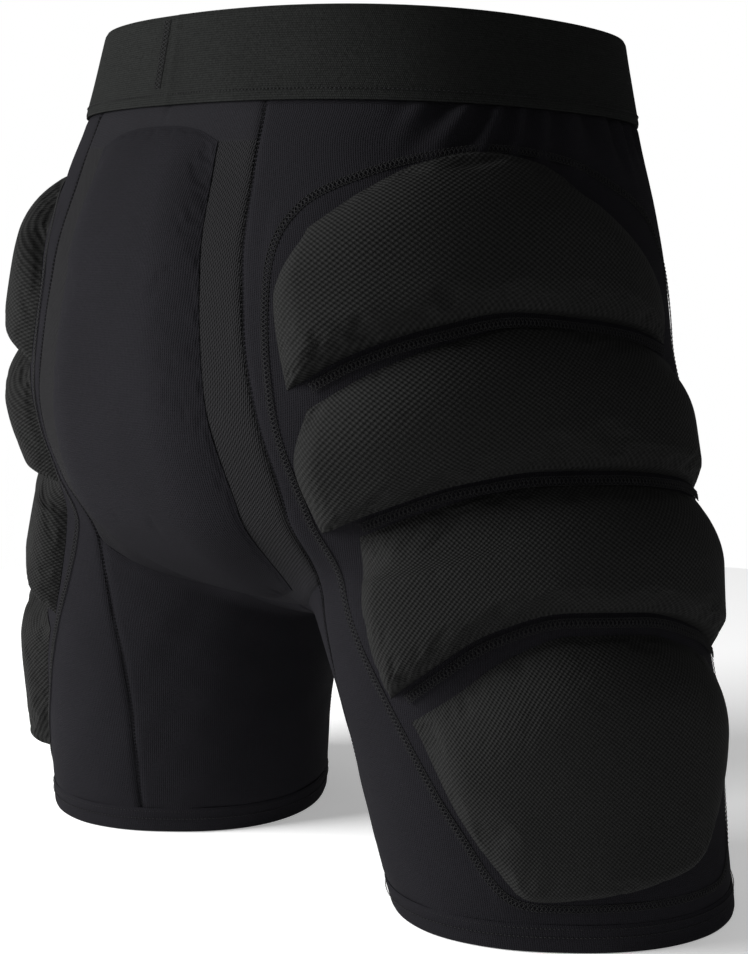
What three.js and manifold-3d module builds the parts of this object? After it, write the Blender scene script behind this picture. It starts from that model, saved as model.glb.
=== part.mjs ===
// Padded impact shorts: stretch shorts with an elastic waistband, a foam seat pad
// and four foam pads over each hip and thigh.
// Millimetres. +Z up, +X to the wearer's left, -Y to the wearer's front, hems on z = 0.
import * as THREE from "three";
import { mergeVertices } from "three/addons/utils/BufferGeometryUtils.js";
import Module from "manifold-3d";

const wasm = await Module();
wasm.setup();

// ---- driving dimensions -------------------------------------------------------------

const WAIST_TOP = 433; // top edge of the waistband at the side of the body
const BAND_HEIGHT = 43;
const BAND_THICKNESS = 2;
const BAND_INSET = 0.4; // how far the band presses into the body
const BAND_STITCH_RISE = 1.5; // from the foot of the band up to its row of stitches
const WAIST_SLOPE = 0.064; // rise of the waist plane towards the back, per mm
const SLOPE_START = 230; // height where that slope starts to blend in
const HEM_HEIGHT = 14;
const HEM_THICKNESS = 1.6;
const FABRIC = 1; // thickness of a jersey panel
const GAP = 0.5; // clearance between two pieces that meet at a seam
const LAYER_GAP = 0.6; // clearance between two layers that lie on each other
const LEAST_GAP = 0.3; // and the least that is left where a flat facet comes near the layer below

// half sizes of the waist and hips, and the height of each level
const WAIST = { halfWidth: 144, back: 112, front: 118 };
const BAND_FOOT = { halfWidth: 158, back: 122, front: 115 };
const HIGH_HIP = { level: 360, halfWidth: 169, back: 133, front: 113 };
const HIP = { level: 315, halfWidth: 180, back: 147, front: 112 };
const SEAT = { level: 255, halfWidth: 185, back: 153, front: 111 };
const LOW_SEAT = { level: 205, halfWidth: 172, back: 142, front: 101 };
const FORK = { level: 165, halfWidth: 125, back: 103, front: 80 };
const CROTCH = { level: 140, halfWidth: 70, back: 57, front: 46 };
const CROTCH_FLOOR = { level: 122, halfWidth: 10, back: 10, front: 10 };

// each leg: distance of its axis from the middle, and the half sizes of its section
// along the diagonal that points to the outer front and along the one that points inwards
const HEM = { level: 0, spread: 138, outerFront: 86.5, innerFront: 80.5 };
const MID_THIGH = { level: 60, spread: 133, outerFront: 90, innerFront: 83 };
const THIGH = { level: 100, spread: 129, outerFront: 93, innerFront: 86 };
const THIGH_TOP = { level: 145, spread: 120, outerFront: 96, innerFront: 89 };
const LEG_ROOT = { level: 195, spread: 111, outerFront: 99, innerFront: 90 };
const LEG_BLEND = { level: 240, spread: 102, outerFront: 93, innerFront: 82 };
const LEG_FADE = { level: 280, spread: 93, outerFront: 72, innerFront: 60 };
const LEG_END = { level: 310, spread: 85, outerFront: 10, innerFront: 10 };
const STRIDE = 17; // the right leg stands this far forward at the hem, the left one back
const THIGH_STRIDE = 10.2; // and at the thigh
const ROOT_STRIDE = 2; // and at the root of the leg
const MID_THIGH_BACK_SET = 6; // the mid thigh's axis lies this far behind the hem's
const LEGS_MEET = 260; // height where the two axes are level with the body's again
const THIGH_BACK_SET = 9; // the thigh's axis lies this far behind the hem's
const LEG_SQUARENESS = 2.3; // superellipse exponents of the sections
const WAIST_SQUARENESS = 2.35;
const HIP_SQUARENESS = 2.55;
const JOIN_RADIUS = 26; // softness of the join between hips and legs

// the axis that angles are measured round, as its distance from the middle at each height
const AXIS_IN_BODY = [
  [HEM.level, HEM.spread],
  [THIGH.level, THIGH.spread],
  [THIGH_TOP.level, 112],
  [LEG_ROOT.level, 94],
  [LEG_BLEND.level, 76],
  [340, 45],
  [WAIST_TOP, 35],
];
const CROTCH_AXIS = { y: 12, level: 185 }; // the axis that the gusset is measured round

// seams, as their distance from the middle at each height
const BACK_SEAM = [[0, 87], [80, 83], [140, 87], [190, 96], [220, 99], [290, 86], [390, 70]];
const FRONT_SEAM = [[0, 86], [60, 80], [100, 70], [135, 50], [165, 34], [250, 40], [390, 46]];
const SIDE_SEAM_ANGLE = 140; // where the side panel meets the front panel, round the leg
const SIDE_SEAM_CLEAR = 0.5; // degrees between those two panels
const SEAT_FOOT = { middle: 140, rise: 34, atX: 100 }; // lower edge of the seat panel
const POUCH_FOOT = 150; // lower edge of the front pouch panel
const GUSSET_HALF_WIDTH = 22;
const POUCH_DEPTH = 9;
const POUCH_LINING_INSET = 15;

// pads: ends as [bottom, middle, top] angles round the leg, edges as heights along the pad
const FOAM_THICKNESS = 12.5;
const FOAM_LIFT = 1.5; // room under the foam block for the flat facets of the panel
const COVER = 1;
const PAD_EDGE_FOOT = 9; // width of the rounded lower edge
const PAD_EDGE_HEAD = 34; // width of the gently tapered upper edge
const SEAT_PAD_EDGE = { end: 34, foot: 40, head: 40 }; // widths of its tapered edges
const SEAT_PAD_SPAN = 130;
const HIP_PADS = [
  {
    edge: { back: 18, front: 50 },
    back: [18, 19, 28],
    front: [111, 108, 99],
    foot: [264, 281, 292, 298, 295, 290, 280],
    head: [328, 345, 358, 363.5, 360, 346, 324],
  },
  {
    edge: { back: 18, front: 50 },
    back: [10, 13, 21],
    front: [121, 119, 113],
    foot: [198, 212, 223, 227, 225.5, 220, 209],
    head: [250, 268, 284, 292, 289.5, 282, 264],
  },
  {
    edge: { back: 18, front: 34 },
    back: [7, 10, 19],
    front: [125, 126, 122],
    foot: [120, 138, 155, 163.5, 161.5, 153, 138],
    head: [188, 202, 215, 221.5, 219, 210, 193],
  },
  {
    edge: { back: 18, front: 24 },
    back: [33, 18, 11],
    front: [104, 119, 124],
    foot: [30, 28.5, 28.5, 29, 29, 29.5, 31],
    head: [107, 121, 138, 148, 147, 138, 120],
  },
];
const PAD_BORDER = {
  back: [
    [20, 26],
    [50, 19],
    [77, 11],
    [118, 3.5],
    [155, 2.5],
    [191, 6.5],
    [228, 11],
    [260, 13],
    [340, 20],
  ],
  front: [[20, 116], [70, 129], [200, 131], [270, 126], [330, 114]],
  foot: [20, 20, 20, 20, 20, 20, 20],
  head: [342, 356, 367, 372, 369, 357, 341],
};
const SEAT_FOAM_THICKNESS = 7;
const SEAT_PAD = {
  halfWidth: [[146, 46], [165, 62], [211, 73], [258, 66], [301, 59], [345, 53], [378, 48]],
  foot: [160, 152, 147, 146, 147, 152, 160],
  head: [371, 377, 379, 379.5, 379, 377, 371],
};

// stitching
const STITCH = 0.5; // how far a row of stitches stands up
const STITCH_SEAT = 1.1; // its clearance over the panel
const BORDER_STITCH_SHARE = 0.03; // width of the border row, as a share of the pad group
const SEAM_STITCH_WIDTH = 5;
const CHANNEL_STITCH_WIDTH = 3;
const STITCH_END = 1; // a row of stitches stops this far from the end of its seam
const INNER_STITCH_HEAD = 85; // top of the stitches on the inner leg
const SIDE_STITCH_TURN = 2.6; // width of the side seam's row, in degrees round the leg
const HEM_STITCH = { level: 9, width: 3 };
const BAND_STITCH_WIDTH = 3.5;
const BAND_JOIN = { x: 6.5, width: 7 };

// ---- the surface of the wearer's side of the shorts ---------------------------------

const BODY_LEVELS = [
  CROTCH_FLOOR,
  CROTCH,
  FORK,
  LOW_SEAT,
  SEAT,
  HIP,
  HIGH_HIP,
  { level: WAIST_TOP - BAND_HEIGHT, ...BAND_FOOT },
  { level: WAIST_TOP, ...WAIST },
];
const LEG_LEVELS = [HEM, MID_THIGH, THIGH, THIGH_TOP, LEG_ROOT, LEG_BLEND, LEG_FADE, LEG_END];

const mix = THREE.MathUtils.lerp;

// A smooth curve through [height, value] pairs that never overshoots them.
function profile(pairs) {
  const last = pairs.length - 1;
  const rise = [];
  for (let i = 0; i < last; i += 1) {
    rise.push((pairs[i + 1][1] - pairs[i][1]) / (pairs[i + 1][0] - pairs[i][0]));
  }
  const slope = pairs.map((pair, i) => {
    if (i === 0) return rise[0];
    if (i === last) return rise[last - 1];
    const product = rise[i - 1] * rise[i];
    return product <= 0 ? 0 : (2 * product) / (rise[i - 1] + rise[i]);
  });
  return (height) => {
    const at = Math.min(Math.max(height, pairs[0][0]), pairs[last][0]);
    let i = 0;
    while (i < last - 1 && at > pairs[i + 1][0]) i += 1;
    const span = pairs[i + 1][0] - pairs[i][0];
    const t = (at - pairs[i][0]) / span;
    const value = mix(pairs[i][1], pairs[i + 1][1], 3 * t ** 2 - 2 * t ** 3);
    const leaving = (t ** 3 - 2 * t ** 2 + t) * span * slope[i];
    const arriving = (t ** 3 - t ** 2) * span * slope[i + 1];
    return value + leaving + arriving;
  };
}

const sizeOver = (levels, key) => profile(levels.map((level) => [level.level, level[key]]));
const bodyWidth = sizeOver(BODY_LEVELS, "halfWidth");
const bodyBack = sizeOver(BODY_LEVELS, "back");
const bodyFront = sizeOver(BODY_LEVELS, "front");
const bodySquareness = profile([
  [CROTCH_FLOOR.level, LEG_SQUARENESS],
  [SEAT.level, HIP_SQUARENESS],
  [WAIST_TOP - BAND_HEIGHT, WAIST_SQUARENESS],
]);
const legSpread = sizeOver(LEG_LEVELS, "spread");
const legOuterFront = sizeOver(LEG_LEVELS, "outerFront");
const legInnerFront = sizeOver(LEG_LEVELS, "innerFront");
const legStride = profile([
  [HEM.level, STRIDE],
  [THIGH.level, THIGH_STRIDE],
  [LEG_ROOT.level, ROOT_STRIDE],
  [LEGS_MEET, 0],
]);
const legSet = profile([
  [HEM.level, 0],
  [MID_THIGH.level, MID_THIGH_BACK_SET],
  [THIGH_TOP.level, THIGH_BACK_SET],
  [LEGS_MEET, 0],
]);
const axisSpread = profile(AXIS_IN_BODY);
const legAxisY = (height, side) => legSet(height) + side * legStride(height);

// Signed distance, roughly, from a superellipse with half sizes a and b.
function fromSection(x, y, a, b, squareness) {
  const share = (Math.abs(x / a) ** squareness + Math.abs(y / b) ** squareness) ** (1 / squareness);
  return Math.hypot(x, y) * (1 - 1 / Math.max(share, 1e-6));
}

function softUnion(a, b) {
  const t = Math.min(Math.max(0.5 + (0.5 * (b - a)) / JOIN_RADIUS, 0), 1);
  return b * (1 - t) + a * t - JOIN_RADIUS * t * (1 - t);
}

// Negative inside the body that fills the shorts, before the waist plane is sloped.
function field(x, y, height) {
  const depth = y > 0 ? bodyBack(height) : bodyFront(height);
  const below = Math.max(CROTCH_FLOOR.level - height, 0);
  let value = fromSection(x, y, bodyWidth(height), depth, bodySquareness(height)) + below;
  for (const side of [-1, 1]) {
    const dx = (x - side * legSpread(height)) * side;
    const dy = y - legAxisY(height, side);
    const outer = (dx - dy) * Math.SQRT1_2;
    const inner = (dx + dy) * Math.SQRT1_2;
    const leg = fromSection(outer, inner, legOuterFront(height), legInnerFront(height), LEG_SQUARENESS);
    value = softUnion(value, leg);
  }
  return value;
}

// The first crossing from inside to outside (or outside to inside) along a ray.
const REACH = 260; // further than any part of the surface lies from an axis
function crossing(from, direction, reach, startsInside) {
  const steps = 60;
  const at = (t) => field(from.x + direction.x * t, from.y + direction.y * t, from.z + direction.z * t);
  const inside = (t) => at(t) < 0;
  let near = 0;
  let far = reach;
  for (let i = 1; i <= steps; i += 1) {
    far = (reach * i) / steps;
    if (inside(far) !== startsInside) break;
    near = far;
  }
  for (let i = 0; i < 24; i += 1) {
    const middle = (near + far) / 2;
    if (inside(middle) === startsInside) near = middle;
    else far = middle;
  }
  return new THREE.Vector3().copy(from).addScaledVector(direction, near);
}

const radians = THREE.MathUtils.degToRad;
const degrees = THREE.MathUtils.radToDeg;

// Points on the body: round a leg's axis (0 at the back, 90 at the outer side, 180 in front),
// straight in from the back or the front, and down through the crotch.
function roundLeg(side, angle, height) {
  const from = new THREE.Vector3(side * axisSpread(height), legAxisY(height, side), height);
  const direction = new THREE.Vector3(side * Math.sin(radians(angle)), Math.cos(radians(angle)), 0);
  return crossing(from, direction, REACH, true);
}
const fromBack = (x, height) =>
  crossing(new THREE.Vector3(x, REACH, height), new THREE.Vector3(0, -1, 0), REACH, false);
const fromFront = (x, height) =>
  crossing(new THREE.Vector3(x, -REACH, height), new THREE.Vector3(0, 1, 0), REACH, false);
function throughCrotch(x, angle) {
  const from = new THREE.Vector3(x, CROTCH_AXIS.y, CROTCH_AXIS.level);
  const direction = new THREE.Vector3(0, Math.cos(radians(angle)), -Math.sin(radians(angle)));
  return crossing(from, direction, REACH, true);
}
function angleOf(point, side) {
  const across = side * point.x - axisSpread(point.z);
  return degrees(Math.atan2(across, point.y - legAxisY(point.z, side)));
}

function normalAt(point, level) {
  const h = 0.5;
  const { x, y, z } = point;
  const normal = new THREE.Vector3(
    field(x + h, y, z) - field(x - h, y, z),
    field(x, y + h, z) - field(x, y - h, z),
    level ? 0 : field(x, y, z + h) - field(x, y, z - h),
  );
  return normal.normalize();
}

const smooth = (t) => THREE.MathUtils.smoothstep(t, 0, 1);
function sloped(point, height, y) {
  const share = smooth((height - SLOPE_START) / (WAIST_TOP - SLOPE_START));
  point.z += WAIST_SLOPE * y * share;
  return point;
}

// ---- closed bodies on that surface --------------------------------------------------

const evenly = (count) => Array.from({ length: count + 1 }, (_, i) => i / count);

// A closed sheet over a grid of surface points. place(u, w) gives the surface point,
// inner(u, w) and outer(u, w) the heights of its two faces above the body.
// A ring closes on itself along u.
function sheet({ us, ws, place, inner, outer, ring = false, level = false }) {
  const columns = ring ? us.length - 1 : us.length;
  const rows = ws.length;
  const positions = [];
  const put = (offset) => {
    for (let i = 0; i < columns; i += 1) {
      for (let j = 0; j < rows; j += 1) {
        const base = place(us[i], ws[j]);
        const point = base.clone().addScaledVector(normalAt(base, level), offset(us[i], ws[j]));
        sloped(point, base.z, base.y);
        positions.push(point.x, point.y, point.z);
      }
    }
  };
  put(outer);
  put(inner);
  const lower = columns * rows;
  const id = (i, j, offset) => (i % columns) * rows + j + offset;
  const faces = [];
  const quad = (a, b, c, d) => faces.push(a, b, c, a, c, d);
  const spans = ring ? columns : columns - 1;
  for (let i = 0; i < spans; i += 1) {
    for (let j = 0; j < rows - 1; j += 1) {
      quad(id(i, j, 0), id(i + 1, j, 0), id(i + 1, j + 1, 0), id(i, j + 1, 0));
      quad(id(i, j, lower), id(i, j + 1, lower), id(i + 1, j + 1, lower), id(i + 1, j, lower));
    }
    quad(id(i, 0, 0), id(i, 0, lower), id(i + 1, 0, lower), id(i + 1, 0, 0));
    quad(id(i, rows - 1, 0), id(i + 1, rows - 1, 0), id(i + 1, rows - 1, lower), id(i, rows - 1, lower));
  }
  if (!ring) {
    const end = columns - 1;
    for (let j = 0; j < rows - 1; j += 1) {
      quad(id(0, j, 0), id(0, j + 1, 0), id(0, j + 1, lower), id(0, j, lower));
      quad(id(end, j, 0), id(end, j, lower), id(end, j + 1, lower), id(end, j + 1, 0));
    }
  }
  const geometry = new THREE.BufferGeometry();
  geometry.setAttribute("position", new THREE.Float32BufferAttribute(positions, 3));
  geometry.setIndex(volumeOf(positions, faces) < 0 ? faces.reverse() : faces);
  geometry.computeVertexNormals();
  return geometry;
}

function volumeOf(positions, faces) {
  const corner = (i) => new THREE.Vector3().fromArray(positions, faces[i] * 3);
  let total = 0;
  for (let i = 0; i < faces.length; i += 3) {
    total += corner(i).dot(corner(i + 1).cross(corner(i + 2)));
  }
  return total;
}

function solidOf(geometry) {
  const bare = new THREE.BufferGeometry();
  bare.setAttribute("position", geometry.getAttribute("position"));
  bare.setIndex(geometry.index);
  const merged = mergeVertices(bare, 1e-3);
  const mesh = new wasm.Mesh({
    numProp: 3,
    vertProperties: merged.attributes.position.array,
    triVerts: new Uint32Array(merged.index.array),
  });
  return new wasm.Manifold(mesh);
}

// What is left of an upper layer once the layer below it, grown by the least gap, is cut away.
function clearOf(upper, lower) {
  const grown = { ...lower, outer: (u, w) => lower.outer(u, w) + LEAST_GAP };
  const solid = solidOf(sheet(upper)).subtract(solidOf(sheet(grown)));
  const bodies = solid.decompose().sort((a, b) => b.volume() - a.volume());
  const mesh = bodies[0].getMesh();
  const geometry = new THREE.BufferGeometry();
  geometry.setAttribute("position", new THREE.BufferAttribute(mesh.vertProperties, 3));
  geometry.setIndex(new THREE.BufferAttribute(mesh.triVerts, 1));
  geometry.computeVertexNormals();
  return geometry;
}

const flat = (value) => () => value;
const along = (values) => profile(values.map((value, i) => [i / (values.length - 1), value]));

// ---- materials ----------------------------------------------------------------------

const cloth = (color, roughness) =>
  new THREE.MeshStandardMaterial({ color, roughness, metalness: 0 });
const JERSEY = cloth(0x232226, 0.85);
const VENT_KNIT = cloth(0x28272b, 0.9);
const PAD_CLOTH = cloth(0x1b1b1c, 0.8);
const BAND_CLOTH = cloth(0x2a2d2c, 0.95);
const FOAM_MATERIAL = cloth(0x3c3c3e, 0.95);
const THREAD = cloth(0x19191b, 0.7);

const shorts = new THREE.Group();
const garment = new THREE.Group();
shorts.add(garment);

function add(name, geometry, material) {
  const mesh = new THREE.Mesh(geometry, material);
  mesh.name = name;
  garment.add(mesh);
}

const SIDES = [["left", 1], ["right", -1]];
const backSeam = profile(BACK_SEAM);
const frontSeam = profile(FRONT_SEAM);
const bandFoot = WAIST_TOP - BAND_HEIGHT;
const panelHead = bandFoot - GAP;
const panelFoot = HEM_HEIGHT + GAP;
const seatFoot = (x) => SEAT_FOOT.middle + SEAT_FOOT.rise * (x / SEAT_FOOT.atX) ** 2;

// Height of the seat panel's lower edge at a share of the way from the middle to its seam.
function seatEdge(across) {
  let height = SEAT_FOOT.middle;
  for (let i = 0; i < 8; i += 1) height = seatFoot(across * backSeam(height));
  return height;
}

// ---- waistband ----------------------------------------------------------------------

const bandUs = evenly(48);
function roundBody(u, height) {
  const turn = u * 2;
  const side = turn < 1 ? 1 : -1;
  const backAngle = angleOf(fromBack(0, height), side);
  const frontAngle = angleOf(fromFront(0, height), side);
  const share = turn < 1 ? turn : 2 - turn;
  return roundLeg(side, mix(backAngle, frontAngle, share), height);
}

add(
  "waistband_elastic",
  sheet({
    us: bandUs,
    ws: evenly(2),
    place: (u, w) => roundBody(u, mix(bandFoot, WAIST_TOP, w)),
    inner: flat(-BAND_INSET),
    outer: flat(BAND_THICKNESS - BAND_INSET),
    ring: true,
    level: true,
  }),
  BAND_CLOTH,
);
const bandFace = BAND_THICKNESS - BAND_INSET + GAP;
add(
  "waistband_seam_stitch",
  sheet({
    us: bandUs,
    ws: evenly(1),
    place: (u, w) => roundBody(u, bandFoot + BAND_STITCH_RISE + BAND_STITCH_WIDTH * w),
    inner: flat(bandFace),
    outer: flat(bandFace + STITCH),
    ring: true,
    level: true,
  }),
  THREAD,
);
add(
  "waistband_join_stitch",
  sheet({
    us: evenly(1),
    ws: evenly(2),
    place: (u, w) => fromBack(
      BAND_JOIN.x + BAND_JOIN.width * (u - 0.5),
      mix(bandFoot + BAND_STITCH_RISE + BAND_STITCH_WIDTH + GAP, WAIST_TOP - STITCH_END, w),
    ),
    inner: flat(bandFace),
    outer: flat(bandFace + STITCH),
    level: true,
  }),
  THREAD,
);

// ---- seat ---------------------------------------------------------------------------

const SEAT_WS = [0, 0.04, 0.08, 0.12, 0.17, 0.22, 0.28, 0.34, 0.4, 0.46, 0.52, 0.6, 0.7, 0.8, 0.9, 1];
const seatLayer = {
  us: evenly(14),
  ws: SEAT_WS,
  place: (u, w) => {
    const across = 2 * u - 1;
    const height = mix(seatEdge(across), panelHead, w);
    return fromBack(across * (backSeam(height) - GAP), height);
  },
  inner: flat(-FABRIC),
  outer: flat(0),
};
add("seat_panel", sheet(seatLayer), VENT_KNIT);

// The rounded edge of a pad: 0 at its border, 1 where the pad has its full thickness.
function roundedEdge(distance, width) {
  const t = 1 - Math.min(distance / width, 1);
  return Math.sqrt(Math.max(1 - t * t, 0));
}

// The same for an edge that slopes down gently.
function taperedEdge(distance, width) {
  const t = 1 - Math.min(distance / width, 1);
  return 1 - t * t;
}

const PAD_US = [0, 0.025, 0.06, 0.11, 0.22, 0.36, 0.5, 0.64, 0.78, 0.89, 0.96, 1];
const PAD_WS = [0, 0.06, 0.14, 0.28, 0.42, 0.56, 0.7, 0.83, 0.93, 1];
const SEAT_PAD_US = [0, 0.05, 0.14, 0.26, 0.38, 0.5, 0.62, 0.74, 0.86, 0.95, 1];
const SEAT_PAD_WS = [0, 0.04, 0.11, 0.2, 0.32, 0.45, 0.6, 0.75, 0.88, 0.96, 1];

// A foam block and the cloth cover over it.
function padPair({ name, place, us, ws, seatedAt, thickness, shape, under }) {
  const full = thickness + GAP + COVER;
  const crown = (u, w) => full * shape(u, w);
  const coverTop = (u, w) => seatedAt + Math.max(crown(u, w), COVER);
  const cover = { us, ws, place, inner: (u, w) => coverTop(u, w) - COVER, outer: coverTop };
  add(name.replace("PIECE", "cover"), clearOf(cover, under), PAD_CLOTH);
  add(
    name.replace("PIECE", "foam"),
    sheet({
      us: us.slice(2, -2),
      ws: ws.slice(2, -2),
      place,
      inner: flat(seatedAt + FOAM_LIFT),
      outer: (u, w) => coverTop(u, w) - COVER - GAP,
    }),
    FOAM_MATERIAL,
  );
}

const seatPadFoot = along(SEAT_PAD.foot);
const seatPadHead = along(SEAT_PAD.head);
const seatPadHalfWidth = profile(SEAT_PAD.halfWidth);
padPair({
  name: "seat_pad_PIECE",
  place: (u, w) => {
    const height = mix(seatPadFoot(u), seatPadHead(u), w);
    return fromBack((2 * u - 1) * seatPadHalfWidth(height), height);
  },
  us: SEAT_PAD_US,
  ws: SEAT_PAD_WS,
  seatedAt: LAYER_GAP,
  thickness: SEAT_FOAM_THICKNESS,
  shape: (u, w) => {
    const height = seatPadHead(u) - seatPadFoot(u);
    const foot = taperedEdge(w * height, SEAT_PAD_EDGE.foot);
    const head = taperedEdge((1 - w) * height, SEAT_PAD_EDGE.head);
    const right = taperedEdge(u * SEAT_PAD_SPAN, SEAT_PAD_EDGE.end);
    const left = taperedEdge((1 - u) * SEAT_PAD_SPAN, SEAT_PAD_EDGE.end);
    return foot * head * right * left;
  },
  under: seatLayer,
});

// ---- side panels with their hip and thigh pads --------------------------------------

const borderBack = profile(PAD_BORDER.back);
const borderFront = profile(PAD_BORDER.front);
const borderFoot = along(PAD_BORDER.foot);
const borderHead = along(PAD_BORDER.head);

// A point of a square with rounded corners, from -1 to 1 each way.
const CORNER = 12;
function roundedSquare(turn) {
  const [x, y] = [Math.cos(2 * Math.PI * turn), Math.sin(2 * Math.PI * turn)];
  const size = (Math.abs(x) ** CORNER + Math.abs(y) ** CORNER) ** (1 / CORNER);
  return [x / size, y / size];
}

// Arc length from one angle to the other round a leg.
function arcLength(side, from, to, height) {
  let total = 0;
  const steps = 8;
  for (let i = 0; i < steps; i += 1) {
    const a = roundLeg(side, mix(from, to, i / steps), height);
    const b = roundLeg(side, mix(from, to, (i + 1) / steps), height);
    total += a.distanceTo(b);
  }
  return total;
}

const backSeamAngle = (side, height, clear) => {
  const point = fromBack(side * (backSeam(height) + clear), height);
  return angleOf(point, side);
};

for (const [hand, side] of SIDES) {
  const sideLayer = {
    us: evenly(18),
    ws: evenly(26),
    place: (u, w) => {
      const height = mix(panelFoot, panelHead, w);
      return roundLeg(side, mix(backSeamAngle(side, height, GAP), SIDE_SEAM_ANGLE, u), height);
    },
    inner: flat(-FABRIC),
    outer: flat(0),
  };
  add(hand + "_side_panel", sheet(sideLayer), JERSEY);
  add(
    hand + "_pad_border_stitch",
    sheet({
      us: evenly(112),
      ws: evenly(1),
      place: (u, w) => {
        const reach = 0.5 * (1 - w * BORDER_STITCH_SHARE);
        const [a, b] = roundedSquare(u);
        const share = 0.5 + reach * a;
        const height = mix(borderFoot(share), borderHead(share), 0.5 + reach * b);
        return roundLeg(side, mix(borderBack(height), borderFront(height), share), height);
      },
      inner: flat(STITCH_SEAT),
      outer: flat(STITCH_SEAT + STITCH),
      ring: true,
    }),
    THREAD,
  );
  HIP_PADS.forEach((pad, index) => {
    const foot = along(pad.foot);
    const head = along(pad.head);
    const back = along(pad.back);
    const front = along(pad.front);
    const length = arcLength(side, pad.back[1], pad.front[1], foot(0.5));
    padPair({
      name: hand + "_hip_pad_PIECE_" + (index + 1),
      place: (u, w) => roundLeg(side, mix(back(w), front(w), u), mix(foot(u), head(u), w)),
      us: PAD_US,
      ws: PAD_WS,
      seatedAt: LAYER_GAP,
      thickness: FOAM_THICKNESS,
      shape: (u, w) => {
        const height = head(u) - foot(u);
        const lower = roundedEdge(w * height, PAD_EDGE_FOOT);
        const upper = taperedEdge((1 - w) * height, PAD_EDGE_HEAD);
        const rear = taperedEdge(u * length, pad.edge.back);
        const fore = taperedEdge((1 - u) * length, pad.edge.front);
        return lower * upper * rear * fore;
      },
      under: sideLayer,
    });
  });
  HIP_PADS.slice(0, -1).forEach((pad, index) => {
    const next = HIP_PADS[index + 1];
    const share = (angle, ends, level) => (angle - ends.back[level]) / (ends.front[level] - ends.back[level]);
    const upper = along(pad.foot);
    const lower = along(next.head);
    const start = Math.max(pad.back[0], next.back[2]) + 2;
    const stop = Math.min(pad.front[0], next.front[2]) - 2;
    add(
      hand + "_channel_stitch_" + (index + 1),
      sheet({
        us: evenly(24),
        ws: evenly(1),
        place: (u, w) => {
          const angle = mix(start, stop, u);
          const channel = (upper(share(angle, pad, 0)) + lower(share(angle, next, 2))) / 2;
          return roundLeg(side, angle, channel + CHANNEL_STITCH_WIDTH * (w - 0.5));
        },
        inner: flat(STITCH_SEAT),
        outer: flat(STITCH_SEAT + STITCH),
      }),
      THREAD,
    );
  });
}

// ---- front panels, pouch, inner legs and gusset -------------------------------------

const frontSeamAngle = (side, height, clear) => {
  const point = fromFront(side * (frontSeam(height) + clear), height);
  return (angleOf(point, side) + 360) % 360;
};

// How high the inner leg panel reaches along one of its upright lines: up to the seat
// panel, the pouch panel or the side of the gusset, whichever it meets first.
function innerLegHead(side, angleAt) {
  const clear = (height) => {
    const point = roundLeg(side, angleAt(height), height);
    const beside = Math.abs(point.x) > GUSSET_HALF_WIDTH + GAP && side * point.x > 0;
    const ceiling = point.y > 0 ? seatFoot(point.x) : POUCH_FOOT;
    return beside && height < ceiling - GAP;
  };
  let low = THIGH.level / 2;
  let high = low;
  while (clear(high + 2) && high < LOW_SEAT.level) high += 2;
  low = high;
  high += 2;
  for (let i = 0; i < 16; i += 1) {
    const middle = (low + high) / 2;
    if (clear(middle)) low = middle;
    else high = middle;
  }
  return low;
}

for (const [hand, side] of SIDES) {
  add(
    hand + "_front_panel",
    sheet({
      us: evenly(6),
      ws: evenly(14),
      place: (u, w) => {
        const height = mix(panelFoot, panelHead, w);
        const fore = frontSeamAngle(side, height, 2 * GAP);
        return roundLeg(side, mix(SIDE_SEAM_ANGLE + SIDE_SEAM_CLEAR, fore, u), height);
      },
      inner: flat(-FABRIC),
      outer: flat(0),
    }),
    JERSEY,
  );
  const backEdge = (height) => backSeamAngle(side, height, -GAP / 2);
  const frontEdge = (height) => frontSeamAngle(side, height, -GAP) - 360;
  const heads = new Map();
  add(
    hand + "_inner_leg_panel",
    sheet({
      us: evenly(14),
      ws: evenly(7),
      place: (u, w) => {
        if (!heads.has(u)) {
          const angleAt = (height) => mix(backEdge(height), frontEdge(height), u);
          heads.set(u, innerLegHead(side, angleAt));
        }
        const height = mix(panelFoot, heads.get(u), w);
        return roundLeg(side, mix(backEdge(height), frontEdge(height), u), height);
      },
      inner: flat(-FABRIC),
      outer: flat(0),
    }),
    JERSEY,
  );
}

const POUCH_WS = [0, 0.03, 0.08, 0.15, 0.25, 0.38, 0.52, 0.68, 0.84, 1];
const pouchBulge = (u, w) => POUCH_DEPTH * Math.sin(Math.PI * u) ** 2 * Math.sin(Math.PI * w ** 1.3) ** 2;
const pouchPlace = (inset) => (u, w) => {
  const height = mix(POUCH_FOOT + inset, panelHead - inset, w);
  return fromFront((2 * u - 1) * (frontSeam(height) - GAP - inset), height);
};
add(
  "front_pouch_panel",
  sheet({
    us: evenly(8),
    ws: POUCH_WS,
    place: pouchPlace(0),
    inner: (u, w) => pouchBulge(u, w) - FABRIC,
    outer: pouchBulge,
  }),
  JERSEY,
);
add(
  "front_pouch_lining",
  sheet({
    us: evenly(6),
    ws: POUCH_WS,
    place: pouchPlace(POUCH_LINING_INSET),
    inner: flat(-2 * FABRIC - 1.5 * LAYER_GAP),
    outer: flat(-FABRIC - 1.5 * LAYER_GAP),
  }),
  VENT_KNIT,
);

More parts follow.
